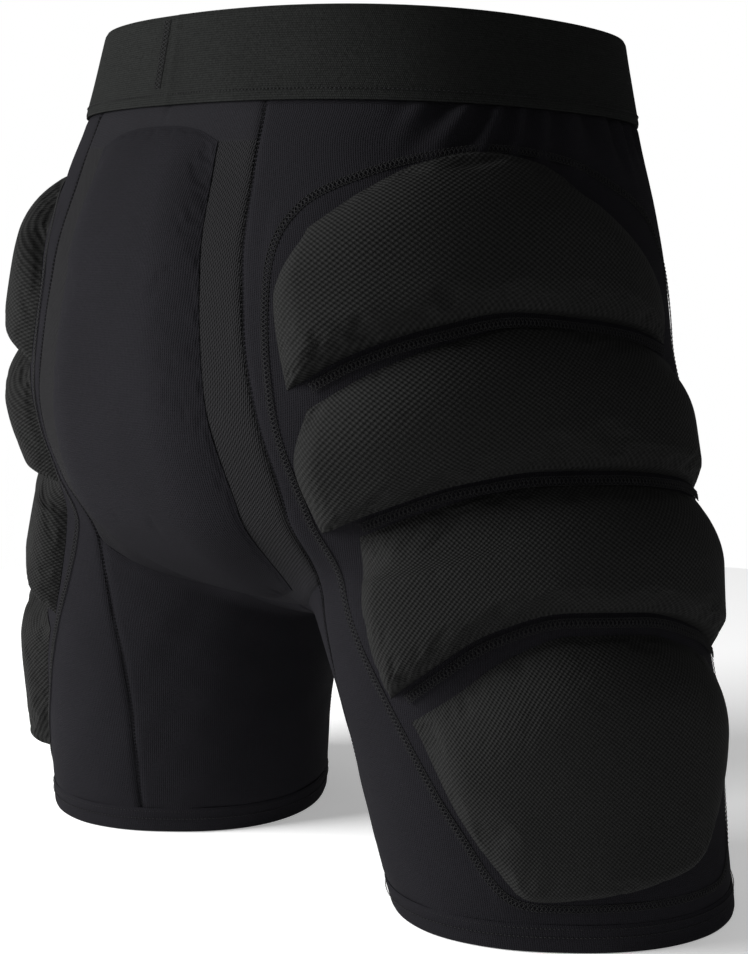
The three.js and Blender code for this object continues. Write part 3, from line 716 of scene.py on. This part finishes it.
def gathered(angle, below):
    """Folds under the band, upright over the hip and slanting down towards the seat."""
    slanted = smooth((GATHERS_SLANT - angle) / 34)
    folds = np.sin(angle * 0.85 + below * 0.26 * slanted + 1.6 * np.sin(angle * 0.17))
    reach = 12 + 10 * slanted + 4 * np.sin(angle * 0.31 + 1)
    folds = (folds - 0.2) * np.exp(-((np.maximum(below - 4, 0) / reach) ** 1.5)) * 0.5
    ends = smooth((angle - GATHERS_BACK) / 18) * smooth((GATHERS_FRONT - angle) / 16)
    return folds * ends * smooth((below + 1) / 3)


def side_offset(side):
    def offset(u, w, base):
        angle, height = angle_of(base, side), base[..., 2]
        cloth = dip(to_edge(u, SIDE_WIDTH)) + tucked(base) + UNEVEN * uneven(base, 60, 2 + side)
        cloth = cloth + sizes().backing / MM * smooth(border_distance(angle, height) / 2)
        return cloth + sizes().gather / MM * gathered(angle, BAND_FOOT - height)

    return offset


def back_seam_angle(side, height):
    return angle_of(from_back(side * back_seam(height), height), side)


def front_seam_angle(side, height):
    return angle_of(from_front(side * front_seam(height), height), side) % 360


def make_side_panel(hand, side):
    def place(u, w):
        height = mix(PANEL_FOOT, PANEL_HEAD, w)
        back = back_seam_angle(side, height[0])
        return round_leg(side, mix(back[None, :], SIDE_SEAM_ANGLE, u), height)

    node = hand + "_side_panel"
    panel(hand + "_side_cloth", place, side_offset(side), (130, 170), "jersey", node)


def make_front_panel(hand, side):
    def place(u, w):
        height = mix(PANEL_FOOT, PANEL_HEAD, w)
        front = front_seam_angle(side, height[0])
        return round_leg(side, mix(SIDE_SEAM_ANGLE, front[None, :], u), height)

    def offset(u, w, base):
        return dip(to_edge(u, FRONT_WIDTH)) + tucked(base) + UNEVEN * uneven(base, 60, 6 + side)

    panel(hand + "_front_cloth", place, offset, (50, 150), "jersey", hand + "_front_panel")


def inner_leg_head(side, angle_at, count):
    """How high the inner leg panel reaches along each of its upright lines."""

    def clear(height):
        p = round_leg(side, angle_at(height), height)
        beside = (np.abs(p[:, 0]) > GUSSET_HALF_WIDTH) & (side * p[:, 0] > 0)
        ceiling = np.where(p[:, 1] > 0, seat_foot(p[:, 0]), POUCH_FOOT)
        return beside & (height < ceiling)

    step, highest = 3, 205
    low = np.full(count, 60.0)
    going = np.ones(count, bool)
    while going.any() and low.max() < highest:
        going &= clear(low + step)
        low = np.where(going, low + step, low)
    return closed_in(low, low + step, clear, 10)[0]


def make_inner_leg(hand, side):
    across, up = 60, 60
    share = np.linspace(0, 1, across + 1)

    def angle_at(height):
        front = front_seam_angle(side, height) - 360
        return mix(back_seam_angle(side, height), front, share)

    heads = inner_leg_head(side, angle_at, across + 1)

    def place(u, w):
        height = mix(PANEL_FOOT, heads[:, None], w)
        angle = np.stack([angle_at(height[:, k]) for k in range(up + 1)], axis=1)
        return round_leg(side, angle, height)

    def offset(u, w, base):
        edge = np.minimum(to_edge(u, INNER_LEG_WIDTH), (1 - w) * INNER_LEG_LENGTH)
        return dip(edge) + tucked(base) + 0.5 * uneven(base, 48, 9 + side)

    node = hand + "_inner_leg_panel"
    panel(hand + "_inner_leg_cloth", place, offset, (across, up), "jersey", node)


LINING_INSET, LINING_HEAD, LINING_DEPTH = 15, 374.5, -1.9


def pouch_place(inset, head):
    def place(u, w):
        height = mix(POUCH_FOOT + inset, head, w)
        return from_front((2 * u - 1) * (front_seam(height) - inset), height)

    return place


def pouch_bulge(u, w):
    return POUCH_DEPTH * np.sin(math.pi * u) ** 2 * np.sin(math.pi * w**1.3) ** 2


def make_pouch():
    def offset(u, w, base):
        edge = np.minimum(to_edge(u, POUCH_WIDTH), w * POUCH_LENGTH)
        return pouch_bulge(u, w) + dip(edge) + tucked(base)

    def lining_offset(u, w, base):
        return np.full(u.shape, LINING_DEPTH)

    place, lining_place = pouch_place(0, PANEL_HEAD), pouch_place(LINING_INSET, LINING_HEAD)
    panel("front_pouch_cloth", place, offset, (40, 120), "jersey", "front_pouch_panel")
    name, node = "front_pouch_mesh", "front_pouch_lining"
    panel(name, lining_place, lining_offset, (30, 110), "vent_knit", node)


def pulled_taut(points, rounds=120):
    """A grid of points drawn smooth inside its fixed border, as stretched cloth is."""
    for _ in range(rounds):
        across = points[:-2, 1:-1] + points[2:, 1:-1]
        points[1:-1, 1:-1] = (across + points[1:-1, :-2] + points[1:-1, 2:]) / 4
    return points


def make_gusset():
    def end(x, ceiling, start):
        """The angle, from start towards straight down, where the panel above stops."""

        def above(angle):
            return through_crotch(x, angle)[..., 2] > ceiling

        return closed_in(np.full(x.shape, start), np.full(x.shape, 90.0), above, 14)[1][:, None]

    u, w = grid(24, 50)
    x = (2 * u - 1) * GUSSET_HALF_WIDTH
    line = x[:, 0]
    angle = mix(end(line, seat_foot(line), 0.0), end(line, POUCH_FOOT, 180.0), w)
    base = pulled_taut(through_crotch(x, angle))
    facing = face_normals(base)
    facing *= -np.sign(facing[..., 2].sum())
    edge = np.minimum(to_edge(u, GUSSET_WIDTH), to_edge(w, GUSSET_LENGTH))[..., None]
    outer = in_frame(base + facing * dip(edge))
    inner = outer - facing * sizes().fabric
    piece = slab("crotch_gusset_cloth", outer, inner)
    dress(piece, "jersey", "jersey", "crotch_gusset")


# ---- waistband and hems ----


def round_body(u, height):
    """Points round the whole waist, from the centre back over the left side."""
    points = np.zeros((*u.shape, 3))
    for side, part in ((1, u <= 0.5), (-1, u > 0.5)):
        h = height[part]
        back = angle_of(from_back(0 * h, h), side)
        front = angle_of(from_front(0 * h, h), side)
        share = np.where(side > 0, 2 * u[part], 2 - 2 * u[part])
        points[part] = round_leg(side, mix(back, front, share), h)
    return points


def ring_of_cloth(name, base, height, under, key, node):
    """A closed ring round the waist or a leg; under gives its inner height from its outer one."""
    height[-1], base[-1] = height[0], base[0]
    outer = in_frame(lifted(base, height, True))
    inner = in_frame(lifted(base, under(height), True))
    piece = dress(slab(name, outer, inner, True), key, key, node)


BAND_BACK = -0.4  # the band's inner face, off the body
OVERLAP = (0.0015, 0.010)  # the end that laps over the other, as shares of the way round
OVERLAP_RISE = 0.54
HEM_HEIGHT = 14.0


def make_waistband():
    u, w = grid(300, 26)
    base = round_body(u, mix(BAND_FOOT - 0.5, float(WAIST_TOP), w))
    tall = WAIST_TOP - BAND_FOOT
    face = sizes().band / MM + BAND_BACK
    lap = OVERLAP_RISE * smooth((OVERLAP[1] - u) / 0.002) * smooth((u - OVERLAP[0]) / 0.002)
    height = face + dip((1 - w) * tall, 0.7, 1.1) + dip(w * tall, 0.6, 1.0)
    height = height + UNEVEN * uneven(base, 70, 4) + lap

    def under(height):
        return BAND_BACK + 0.3 * (height - face)

    ring_of_cloth("waistband", base, height, under, "elastic", "waistband_elastic")


def make_hem(hand, side):
    u, w = grid(150, 10)
    base = round_leg(side, -90 + 360 * u, HEM_HEIGHT * w)
    height = 0.25 + dip(to_edge(w, HEM_HEIGHT), 0.5, 0.9) + 0.25 * uneven(base, 50, 12 + side)

    def under(height):
        return height - sizes().hem / MM

    ring_of_cloth(hand + "_hem", base, height, under, "jersey", hand + "_leg_hem")


# ---- pads ----

COVER = 1.0  # thickness of a cover
COVER_DEPTH = 0.9  # how far its inner face may sink below its border's outer one
FOAM_FOOT, FOAM_TOP = 0.8, 1.0  # over the panel, the foam's foot and the least height of its top
FOAM_GAP, RIM_GAP = 1.2, 0.6  # between the foam and its cover, and at its rim
LOFT = 0.5  # how far a cover stands over its foam
THIGH_RADIUS = 98
# how far from each edge a pad reaches its full height
EDGE_FOOT = 9.0
EDGE_HEAD = {"left": 20.0, "right": 34.0}
SEAT_EDGE, SEAT_EDGE_END = 40.0, 34.0
SEAT_PAD_SPAN = 130
# counts: the cover's cells; cap: how far it may swell; fill: how tight it is;
# rest: how far its border lies over the panel; rim: the outer cells that have no foam
HIP_PAD_MAKE = {"counts": (64, 34), "cap": 0.0025, "fill": 0.8, "rest": 0.7, "rim": 5}
SEAT_PAD_MAKE = {"counts": (50, 74), "cap": 0.0003, "fill": 0.5, "rest": 0.4, "rim": 9}
# each pad from the hip down: how far in from its two ends it is rounded, the angles of its
# ends round the leg from foot to head, and its foot and head from back to front
HIP_PADS = (
    {
        "edge": (18, 50), "back": (18, 19, 28), "front": (111, 108, 99),
        "foot": (264, 281, 292, 298, 295, 290, 280),
        "head": (333, 350, 362.5, 368, 364.5, 350, 329),
    },
    {
        "edge": (18, 50), "back": (10, 13, 21), "front": (121, 119, 113),
        "foot": (198, 212, 223, 227, 225.5, 220, 209),
        "head": (256, 273.5, 285.5, 292, 289.5, 283, 270),
    },
    {
        "edge": (18, 34), "back": (7, 10, 19), "front": (125, 126, 122),
        "foot": (120, 138, 155, 163.5, 161.5, 150, 131),
        "head": (197, 209, 217.5, 221, 218.5, 212, 201),
    },
    {
        "edge": (18, 30), "back": (33, 18, 11), "front": (97, 114, 123),
        "foot": (29, 28.5, 29.5, 31.5, 34.5, 39, 45),
        "head": (110, 126, 143, 153, 151, 139, 120),
    },
)
SEAT_PAD_WIDTH = curve((146, 165, 211, 258, 301, 345, 378), (46, 62, 73, 66, 59, 53, 48))
SEAT_PAD_FOOT = along((160, 152, 147, 146, 147, 152, 160))
SEAT_PAD_HEAD = along((371, 377, 379, 379.5, 379, 377, 371))


def rounded_edge(distance, width):
    t = 1 - np.minimum(distance / width, 1)
    return np.sqrt(np.maximum(1 - t * t, 0))


def tapered_edge(distance, width):
    t = 1 - np.minimum(distance / width, 1)
    return 1 - t * t


SETTLE_FRAMES = 20
CLOTH_QUALITY = 6
CLOTH_SHRINK = -0.012  # below 0, the cloth is a little larger than its start


def settle(points, cap, pressure):
    """Lets the cover swell over its foam as cloth, held along its border; returns its points."""
    columns, rows = points.shape[:2]
    k = np.arange(columns * rows).reshape(columns, rows)
    faces = np.stack([k[:-1, :-1], k[1:, :-1], k[1:, 1:], k[:-1, 1:]], -1).reshape(-1, 4)
    a, b, d = points[0, 0], points[-1, 0], points[0, -1]
    middle = points[columns // 2, rows // 2] - points.mean((0, 1))
    if np.dot(np.cross(b - a, d - a), middle) < 0:
        faces = faces[:, ::-1]
    piece = mesh_object("settling", points.reshape(-1, 3), faces)
    held = piece.vertex_groups.new(name="held")
    border = np.concatenate([k[:2].ravel(), k[-2:].ravel(), k[:, :2].ravel(), k[:, -2:].ravel()])
    held.add([int(i) for i in np.unique(border)], 1.0, "REPLACE")
    cloth = piece.modifiers.new("Cloth", "CLOTH")
    cloth.settings.effector_weights.gravity = 0
    cloth.settings.use_pressure = True
    cloth.settings.uniform_pressure_force = pressure
    cloth.settings.vertex_group_mass = "held"
    cloth.settings.quality = CLOTH_QUALITY
    cloth.settings.shrink_min = CLOTH_SHRINK
    cloth.point_cache.frame_start, cloth.point_cache.frame_end = 1, SETTLE_FRAMES
    for number in range(1, SETTLE_FRAMES + 1):
        bpy.context.scene.frame_set(number)
    shape = piece.evaluated_get(bpy.context.evaluated_depsgraph_get()).data
    moved = np.zeros(len(shape.vertices) * 3)
    shape.vertices.foreach_get("co", moved)
    moved = moved.reshape(points.shape) - points
    far = np.linalg.norm(moved, axis=-1, keepdims=True)
    moved *= np.minimum(cap / np.maximum(far, 1e-9), 1)
    bpy.data.objects.remove(piece)
    bpy.context.scene.frame_set(1)
    return points + moved


def finer(points):
    """The same sheet with a smooth point between each two."""
    for axis in (0, 1):
        p = np.moveaxis(points, axis, 0)
        first, last = 2 * p[:1] - p[1:2], 2 * p[-1:] - p[-2:-1]
        q = np.concatenate([first, p, last])
        between = (9 * (q[1:-2] + q[2:-1]) - q[:-3] - q[3:]) / 16
        made = np.empty((2 * len(p) - 1, *p.shape[1:]))
        made[::2], made[1::2] = p, between
        points = np.moveaxis(made, 0, axis)
    return points


def face_normals(points):
    return unit(np.cross(np.gradient(points, axis=0), np.gradient(points, axis=1)))


def lowest_nearby(height):
    """For each point of a grid, the lowest height there and one step round it."""
    for axis in (0, 1):
        h = np.moveaxis(height, axis, 0)
        wide = np.concatenate([h[:1], h, h[-1:]])
        height = np.moveaxis(np.minimum(np.minimum(wide[:-2], wide[1:-1]), wide[2:]), 0, axis)
    return height


def eased(count, edge=0.55):
    """Shares from 0 to 1 that stand closer together near both ends."""
    t = np.linspace(0, 1, count + 1)
    return t - edge * np.sin(2 * math.pi * t) / (2 * math.pi)


def make_pad(stem, place, crown, spread, key, nodes, counts, cap, fill, rest, rim):
    """A cloth cover over its foam block, and the block itself."""
    u, w = np.meshgrid(eased(counts[0]), eased(counts[1]), indexing="ij")
    base = place(u, w)
    flat = np.zeros(u.shape)
    start = in_frame(lifted(base, rest + crown(u, w)))
    start = settle(start, cap, sizes().pressure)
    outer = finer(start)
    out = face_normals(finer(in_frame(lifted(base, flat))))
    body = finer(normals_at(base) * MM)
    inner = outer - np.sign((out * body).sum()) * face_normals(outer) * COVER * MM
    floor = finer(in_frame(lifted(base, flat + rest - COVER_DEPTH)))
    rise = ((inner - floor) * body).sum(-1, keepdims=True)
    inner = inner - np.minimum(rise / (body * body).sum(-1, keepdims=True), 0) * body
    cover = slab(stem.format("pad"), outer, inner, spread=finer(spread(base)))
    dress(cover, key, key, nodes.format("cover"))
    k = slice(rim, -rim)
    height = lowest_nearby(((start - in_frame(base)) * normals_at(base)).sum(-1) / MM)
    top = np.maximum(height - COVER - FOAM_GAP, np.minimum(FOAM_TOP, height - RIM_GAP))
    top, foot = (lifted(base, h)[k, k] for h in (top, flat + FOAM_FOOT))
    block = slab(stem.format("foam"), in_frame(top), in_frame(foot))
    dress(block, "foam", "foam", nodes.format("foam"))


def make_hip_pad(hand, side, number, pad):
    foot, head, back, front = (along(pad[key]) for key in ("foot", "head", "back", "front"))
    middle = round_leg(side, np.linspace(pad["back"][1], pad["front"][1], 9), np.full(9, foot(0.5)))
    span = steps_along(middle, 0).sum()
    full = sizes().hip_foam / MM + LOFT + COVER

    def place(u, w):
        return round_leg(side, mix(back(w), front(w), u), mix(foot(u), head(u), w))

    def crown(u, w):
        height = head(u) - foot(u)
        ends = tapered_edge(u * span, pad["edge"][0]) * tapered_edge((1 - u) * span, pad["edge"][1])
        lower = rounded_edge(w * height, EDGE_FOOT)
        return full * ends * lower * tapered_edge((1 - w) * height, EDGE_HEAD[hand])

    def spread(base):
        round_it = np.radians(angle_of(base, side)) * THIGH_RADIUS
        return np.stack([round_it, base[..., 2]], -1) * MM

    stem, nodes = f"{hand}_hip_{{}}_{number}", f"{hand}_hip_pad_{{}}_{number}"
    make_pad(stem, place, crown, spread, "pad_cloth", nodes, **HIP_PAD_MAKE)


def make_seat_pad():
    full = sizes().seat_foam / MM + LOFT + COVER

    def place(u, w):
        height = mix(SEAT_PAD_FOOT(u), SEAT_PAD_HEAD(u), w)
        return from_back((2 * u - 1) * SEAT_PAD_WIDTH(height), height)

    def crown(u, w):
        height = SEAT_PAD_HEAD(u) - SEAT_PAD_FOOT(u)
        ends = tapered_edge(u * SEAT_PAD_SPAN, SEAT_EDGE_END)
        ends = ends * tapered_edge((1 - u) * SEAT_PAD_SPAN, SEAT_EDGE_END)
        lower = tapered_edge(w * height, SEAT_EDGE)
        return full * ends * lower * tapered_edge((1 - w) * height, SEAT_EDGE)

    def spread(base):
        return base[..., (0, 2)] * MM

    make_pad("seat_{}", place, crown, spread, "jersey", "seat_pad_{}", **SEAT_PAD_MAKE)


# ---- stitching ----


THREAD_SIDES = 6
THREAD_BOW = (-0.5, 0.45, 0.75, 0.45, -0.5)  # height of each ring of a loop, in thread radii
THREAD_GIRTH = (0.55, 0.95, 1.0, 0.95, 0.55)  # and its own radius


def thread_loops(name, starts, ends, outward, radius):
    """Short bowed lengths of thread from start to end, each one closed and slightly flat."""
    sides, rings = THREAD_SIDES, len(THREAD_BOW)
    run = (ends - starts)[:, None]
    axis = unit(ends - starts)
    across = unit(np.cross(axis, outward))
    up = np.cross(across, axis)
    t = np.linspace(0, 1, rings)[:, None]
    bow, girth = (np.array(v)[:, None] for v in (THREAD_BOW, THREAD_GIRTH))
    turn = 2 * math.pi * np.arange(sides)[:, None] / sides
    centre = starts[:, None] + run * t + up[:, None] * bow * radius
    ring = across[:, None] * np.cos(turn) + up[:, None] * np.sin(turn)
    vertices = centre[:, :, None] + ring[:, None] * girth[:, None] * radius
    k = np.arange(sides)
    after = (k + 1) % sides
    wall = np.stack([k, after, after + sides, k + sides], -1)
    faces = np.concatenate([wall + r * sides for r in range(rings - 1)])
    caps = [k[::-1], k + (rings - 1) * sides]
    offsets = np.arange(len(starts))[:, None, None] * sides * rings
    quads = (faces[None] + offsets).reshape(-1, 4).tolist()
    lids = [(cap[None] + offsets[:, :, 0]).reshape(-1, sides).tolist() for cap in caps]
    mesh = bpy.data.meshes.new(name)
    mesh.from_pydata(vertices.reshape(-1, 3).tolist(), [], quads + lids[0] + lids[1])
    piece = new_object(name, mesh)
    only(piece)
    bpy.ops.object.mode_set(mode="EDIT")
    bpy.ops.mesh.select_all(action="SELECT")
    bpy.ops.mesh.normals_make_consistent(inside=False)
    bpy.ops.object.mode_set(mode="OBJECT")
    bpy.ops.object.shade_smooth_by_angle(angle=THREAD_EDGE)
    return piece


def resampled(line, extra, step):
    """The line again with evenly spaced points, and the extra vectors at them."""
    at = np.append(0, np.cumsum(steps_along(line, 0)))
    even = np.linspace(0, at[-1], max(2, round(at[-1] / step)) + 1)
    columns = [np.interp(even, at, v) for v in (*line.T, *extra.T)]
    return np.stack(columns[:3], -1), np.stack(columns[3:], -1)


STITCH_GAP = 0.14  # left open at each end of a stitch, as a share of it
BORDER_SHARE = 0.985  # the border's stitches run just inside it
CHANNEL_DROP = 4.4  # how far under each pad its row of stitches runs
SEAM_FOOT, SEAM_HEAD = 15.5, 388
POUCH_SEAM_FOOT = 195
INNER_SEAM_HEAD = 85
HEM_ROW, BAND_ROW = 10.0, 393.2
BAND_JOIN, BAND_JOIN_ASIDE = (397.5, 431), 6.5


def sew(
    stem, base, offset, width, rows=2, crossed=True, level=False, step=None, key="thread", node=""
):
    """Rows of stitches along a line on the body, with thread crossing between them."""
    line = in_frame(lifted(base, offset, level))
    line, out = resampled(line, normals_at(base, level), step or sizes().stitch)
    out = unit(out)
    across = unit(np.cross(out, np.gradient(line, axis=0)))
    starts, ends, outward = [], [], []
    places = np.linspace(-0.5, 0.5, rows) * width * MM
    for place in places:
        row = line + across * place
        gap = STITCH_GAP * (row[1:] - row[:-1])
        starts.append(row[:-1] + gap)
        ends.append(row[1:] - gap)
        outward.append(out[:-1])
    if crossed:
        a, b = line + across * places[0], line + across * places[-1]
        starts += [a[:-1], b[:-1]]
        ends += [b[1:], a[1:]]
        outward += [out[:-1], out[:-1]]
    loops = (np.concatenate(part) for part in (starts, ends, outward))
    piece = thread_loops(stem.format("thread"), *loops, sizes().thread / 2)
    dress(piece, key, "thread", node or stem.format("stitch"))


def rounded_square(turn, corner=12):
    x, y = np.cos(2 * math.pi * turn), np.sin(2 * math.pi * turn)
    size = (np.abs(x) ** corner + np.abs(y) ** corner) ** (1 / corner)
    return x / size, y / size


def sew_border(hand, side):
    a, b = (0.5 + BORDER_SHARE / 2 * v for v in rounded_square(np.linspace(0, 1, 361)))
    height = mix(PAD_BORDER_FOOT, PAD_BORDER_HEAD(a), b)
    base = round_leg(side, mix(PAD_BORDER_BACK(height), PAD_BORDER_FRONT(height), a), height)
    sew(hand + "_pad_border_{}", base, offset=0.75, width=3.6)


def sew_channels(hand, side):
    """Stitches the cloth down in the channel under each pad."""
    for number, (pad, below) in enumerate(zip(HIP_PADS, HIP_PADS[1:]), 1):
        back, front = pad["back"][0], pad["front"][0]
        start, stop = max(back, below["back"][2]) + 2, min(front, below["front"][2]) - 2
        angle = np.linspace(start, stop, 90)
        height = along(pad["foot"])((angle - back) / (front - back)) - CHANNEL_DROP
        stem = f"{hand}_channel_{{}}_{number}"
        sew(stem, round_leg(side, angle, height), offset=2.0, width=4.2, rows=4)


def sew_seams(hand, side):
    def down_front(foot, head, count):
        height = np.linspace(foot, head, count)
        return from_front(side * front_seam(height), height)

    height = np.linspace(SEAM_FOOT, SEAM_HEAD, 150)
    lines = {
        "back": from_back(side * back_seam(height), height),
        "pouch": down_front(POUCH_SEAM_FOOT, SEAM_HEAD, 90),
        "inner": down_front(SEAM_FOOT, INNER_SEAM_HEAD, 40),
        "side": round_leg(side, np.full(height.shape, float(SIDE_SEAM_ANGLE)), height),
    }
    for seam, base in lines.items():
        flat = seam == "back"
        offset, width = (-0.45, 1.5) if flat else (-0.25, 3.0)
        stem = f"{hand}_{seam}_seam_{{}}"
        # black thread, darker than the cloth as painted shade of the seam creases
        sew(stem, base, offset, width, crossed=not flat, key="seam_shade_thread")


def sew_hem(hand, side):
    angle = np.linspace(-90, 270, 240)
    base = round_leg(side, angle, np.full(angle.shape, HEM_ROW))
    sew(hand + "_hem_{}", base, offset=0.35, width=4.2, crossed=False, level=True)


def sew_band():
    """Stitches the band to the panels, and its two ends together at the back."""
    u = np.linspace(0, 1, 500)
    base = round_body(u, np.full(u.shape, BAND_ROW))
    face = sizes().band / MM - 0.35
    height = np.linspace(*BAND_JOIN, 40)
    join = from_back(np.full(height.shape, BAND_JOIN_ASIDE), height)
    node = "waistband_seam_stitch"
    sew("band_seam_{}", base, face - 0.2, 2.6, crossed=False, level=True, node=node)
    node = "waistband_join_stitch"
    sew("band_join_{}", join, face + 0.4, 4.5, level=True, step=0.0020, node=node)


# ---- the stage ----

CAMERA_TURN = 49.5  # degrees from straight behind, towards the wearer's right
CAMERA_DISTANCE = 1.030
CAMERA_HEIGHT = 0.343
CAMERA_ASIDE = 0.0084
CAMERA_PITCH = -0.1365
CAMERA_ROLL = -0.006
LENS, SENSOR = 72.15, 36
AMBIENT = 0.19  # how bright the white surroundings are as light
# each light: its place to the right of, behind and above the middle, its size and power,
# and the height that it points at
LIGHTS = {
    "key": ((-1.85, 0.35, 0.80), (1.0, 1.2), 90, 0.32),
    "fill": ((0.6, 1.9, 1.1), (1.2, 1.2), 4, 0.22),
}
FLOOR_RADIUS, FLOOR_LEVEL = 0.9, -0.0005
FLOOR_FINISH = {
    "Base Color": (0.95, 0.95, 0.95, 1),
    "Roughness": 0.9,
    "Emission Color": (1, 1, 1, 1),
    "Emission Strength": 0.32,
}


def camera_axes():
    turn = math.radians(CAMERA_TURN)
    back = Vector((-math.sin(turn), math.cos(turn), 0))
    right = Vector((-math.cos(turn), -math.sin(turn), 0))
    return back, right


def place_camera():
    back, right = camera_axes()
    up, ahead = Vector((0, 0, 1)), -back
    place = back * CAMERA_DISTANCE + up * CAMERA_HEIGHT + right * CAMERA_ASIDE + Vector(SHIFT)
    looking = ahead * math.cos(CAMERA_PITCH) + up * math.sin(CAMERA_PITCH)
    top = up * math.cos(CAMERA_PITCH) - ahead * math.sin(CAMERA_PITCH)
    level = right * math.cos(CAMERA_ROLL) + top * math.sin(CAMERA_ROLL)
    top = top * math.cos(CAMERA_ROLL) - right * math.sin(CAMERA_ROLL)
    camera = new_object("camera", bpy.data.cameras.new("camera"))
    camera.data.lens = LENS
    camera.data.sensor_width = SENSOR
    turned = Matrix((level, top, -looking)).transposed().to_4x4()
    camera.matrix_world = Matrix.Translation(place) @ turned
    bpy.context.scene.camera = camera


def place_light(name, place, size, power, aim):
    back, right = camera_axes()
    place = right * place[0] + back * place[1] + Vector((0, 0, place[2]))
    data = bpy.data.lights.new(name, "AREA")
    data.shape = "RECTANGLE"
    data.size, data.size_y = size
    data.energy = power
    light = new_object(name, data)
    light.location = place
    light.rotation_euler = (Vector((0, 0, aim)) - place).to_track_quat("-Z", "Y").to_euler()


def make_world():
    """White to the camera, and a dimmer white as light."""
    world = bpy.data.worlds.new("studio")
    world.use_nodes = True
    tree = world.node_tree
    surround = tree.nodes["Background"].inputs
    surround["Color"].default_value = (1, 1, 1, 1)
    seen = tree.nodes.new("ShaderNodeLightPath").outputs["Is Camera Ray"]
    strength = tree.nodes.new("ShaderNodeMath")
    strength.operation = "MULTIPLY_ADD"
    tree.links.new(seen, strength.inputs[0])
    strength.inputs[1].default_value = 1 - AMBIENT
    strength.inputs[2].default_value = AMBIENT
    tree.links.new(strength.outputs[0], surround["Strength"])
    bpy.context.scene.world = world
    bpy.context.scene.view_settings.view_transform = "Standard"


def make_floor():
    bpy.ops.object.select_all(action="DESELECT")
    bpy.ops.mesh.primitive_circle_add(
        vertices=96, radius=FLOOR_RADIUS, fill_type="NGON", location=(0, 0, FLOOR_LEVEL)
    )
    floor = bpy.context.object
    floor.name = "floor"
    n = Nodes("pale_floor")
    for key, value in FLOOR_FINISH.items():
        n.shader.inputs[key].default_value = value
    floor.data.materials.append(n.material)


def make_stage():
    place_camera()
    for name, light in LIGHTS.items():
        place_light(name, *light)
    make_world()
    make_floor()


# ---- operators and panel ----


class SHORTS_OT_waistband(bpy.types.Operator):
    """Make the waistband elastic"""

    bl_idname = "shorts.waistband"
    bl_label = "Waistband"

    def execute(self, context):
        make_waistband()
        return {"FINISHED"}


class SHORTS_OT_seat(bpy.types.Operator):
    """Make the seat panel and the pad sewn on it"""

    bl_idname = "shorts.seat"
    bl_label = "Seat panel and pad"

    def execute(self, context):
        make_seat_panel()
        make_seat_pad()
        return {"FINISHED"}


class SHORTS_OT_legs(bpy.types.Operator):
    """Make the side, front and inner leg panels and the hems"""

    bl_idname = "shorts.legs"
    bl_label = "Leg panels and hems"

    def execute(self, context):
        for hand, side in SIDES:
            make_side_panel(hand, side)
            make_front_panel(hand, side)
            make_inner_leg(hand, side)
            make_hem(hand, side)
        return {"FINISHED"}


class SHORTS_OT_pouch(bpy.types.Operator):
    """Make the front pouch, its lining and the crotch gusset"""

    bl_idname = "shorts.pouch"
    bl_label = "Pouch and gusset"

    def execute(self, context):
        make_pouch()
        make_gusset()
        return {"FINISHED"}


class SHORTS_OT_hip_pads(bpy.types.Operator):
    """Make the foam pads over the hips and thighs, with their covers"""

    bl_idname = "shorts.hip_pads"
    bl_label = "Hip and thigh pads"

    def execute(self, context):
        for hand, side in SIDES:
            for number, pad in enumerate(HIP_PADS, 1):
                make_hip_pad(hand, side, number, pad)
        return {"FINISHED"}


class SHORTS_OT_stitching(bpy.types.Operator):
    """Sew the seams, the pad borders, the channels, the hems and the band"""

    bl_idname = "shorts.stitching"
    bl_label = "Stitching"

    def execute(self, context):
        sew_band()
        for hand, side in SIDES:
            sew_border(hand, side)
            sew_channels(hand, side)
            sew_seams(hand, side)
            sew_hem(hand, side)
        return {"FINISHED"}


class SHORTS_OT_stage(bpy.types.Operator):
    """Set the floor, the lights and the camera"""

    bl_idname = "shorts.stage"
    bl_label = "Stage"

    def execute(self, context):
        make_stage()
        return {"FINISHED"}


class SHORTS_PT_panel(bpy.types.Panel):
    bl_idname = "SHORTS_PT_panel"
    bl_label = "Padded shorts"
    bl_space_type = "VIEW_3D"
    bl_region_type = "UI"
    bl_category = "Shorts"

    def draw(self, context):
        for group in (context.scene.shorts_sizes, context.scene.shorts_colours):
            for key in group.__annotations__:
                self.layout.prop(group, key)
        for operator in OPERATORS:
            self.layout.operator(operator.bl_idname)


OPERATORS = (
    SHORTS_OT_stage,
    SHORTS_OT_waistband,
    SHORTS_OT_seat,
    SHORTS_OT_legs,
    SHORTS_OT_pouch,
    SHORTS_OT_hip_pads,
    SHORTS_OT_stitching,
)
CLASSES = (ShortsSizes, ShortsColours, *OPERATORS, SHORTS_PT_panel)


def register():
    for cls in CLASSES:
        bpy.utils.register_class(cls)
    bpy.types.Scene.shorts_sizes = bpy.props.PointerProperty(type=ShortsSizes)
    bpy.types.Scene.shorts_colours = bpy.props.PointerProperty(type=ShortsColours)


def unregister():
    del bpy.types.Scene.shorts_colours
    del bpy.types.Scene.shorts_sizes
    for cls in reversed(CLASSES):
        bpy.utils.unregister_class(cls)


def main():
    register()
    bpy.ops.shorts.stage()
    bpy.ops.shorts.waistband()
    bpy.ops.shorts.seat()
    bpy.ops.shorts.legs()
    bpy.ops.shorts.pouch()
    bpy.ops.shorts.hip_pads()
    bpy.ops.shorts.stitching()


if __name__ == "__main__":
    main()
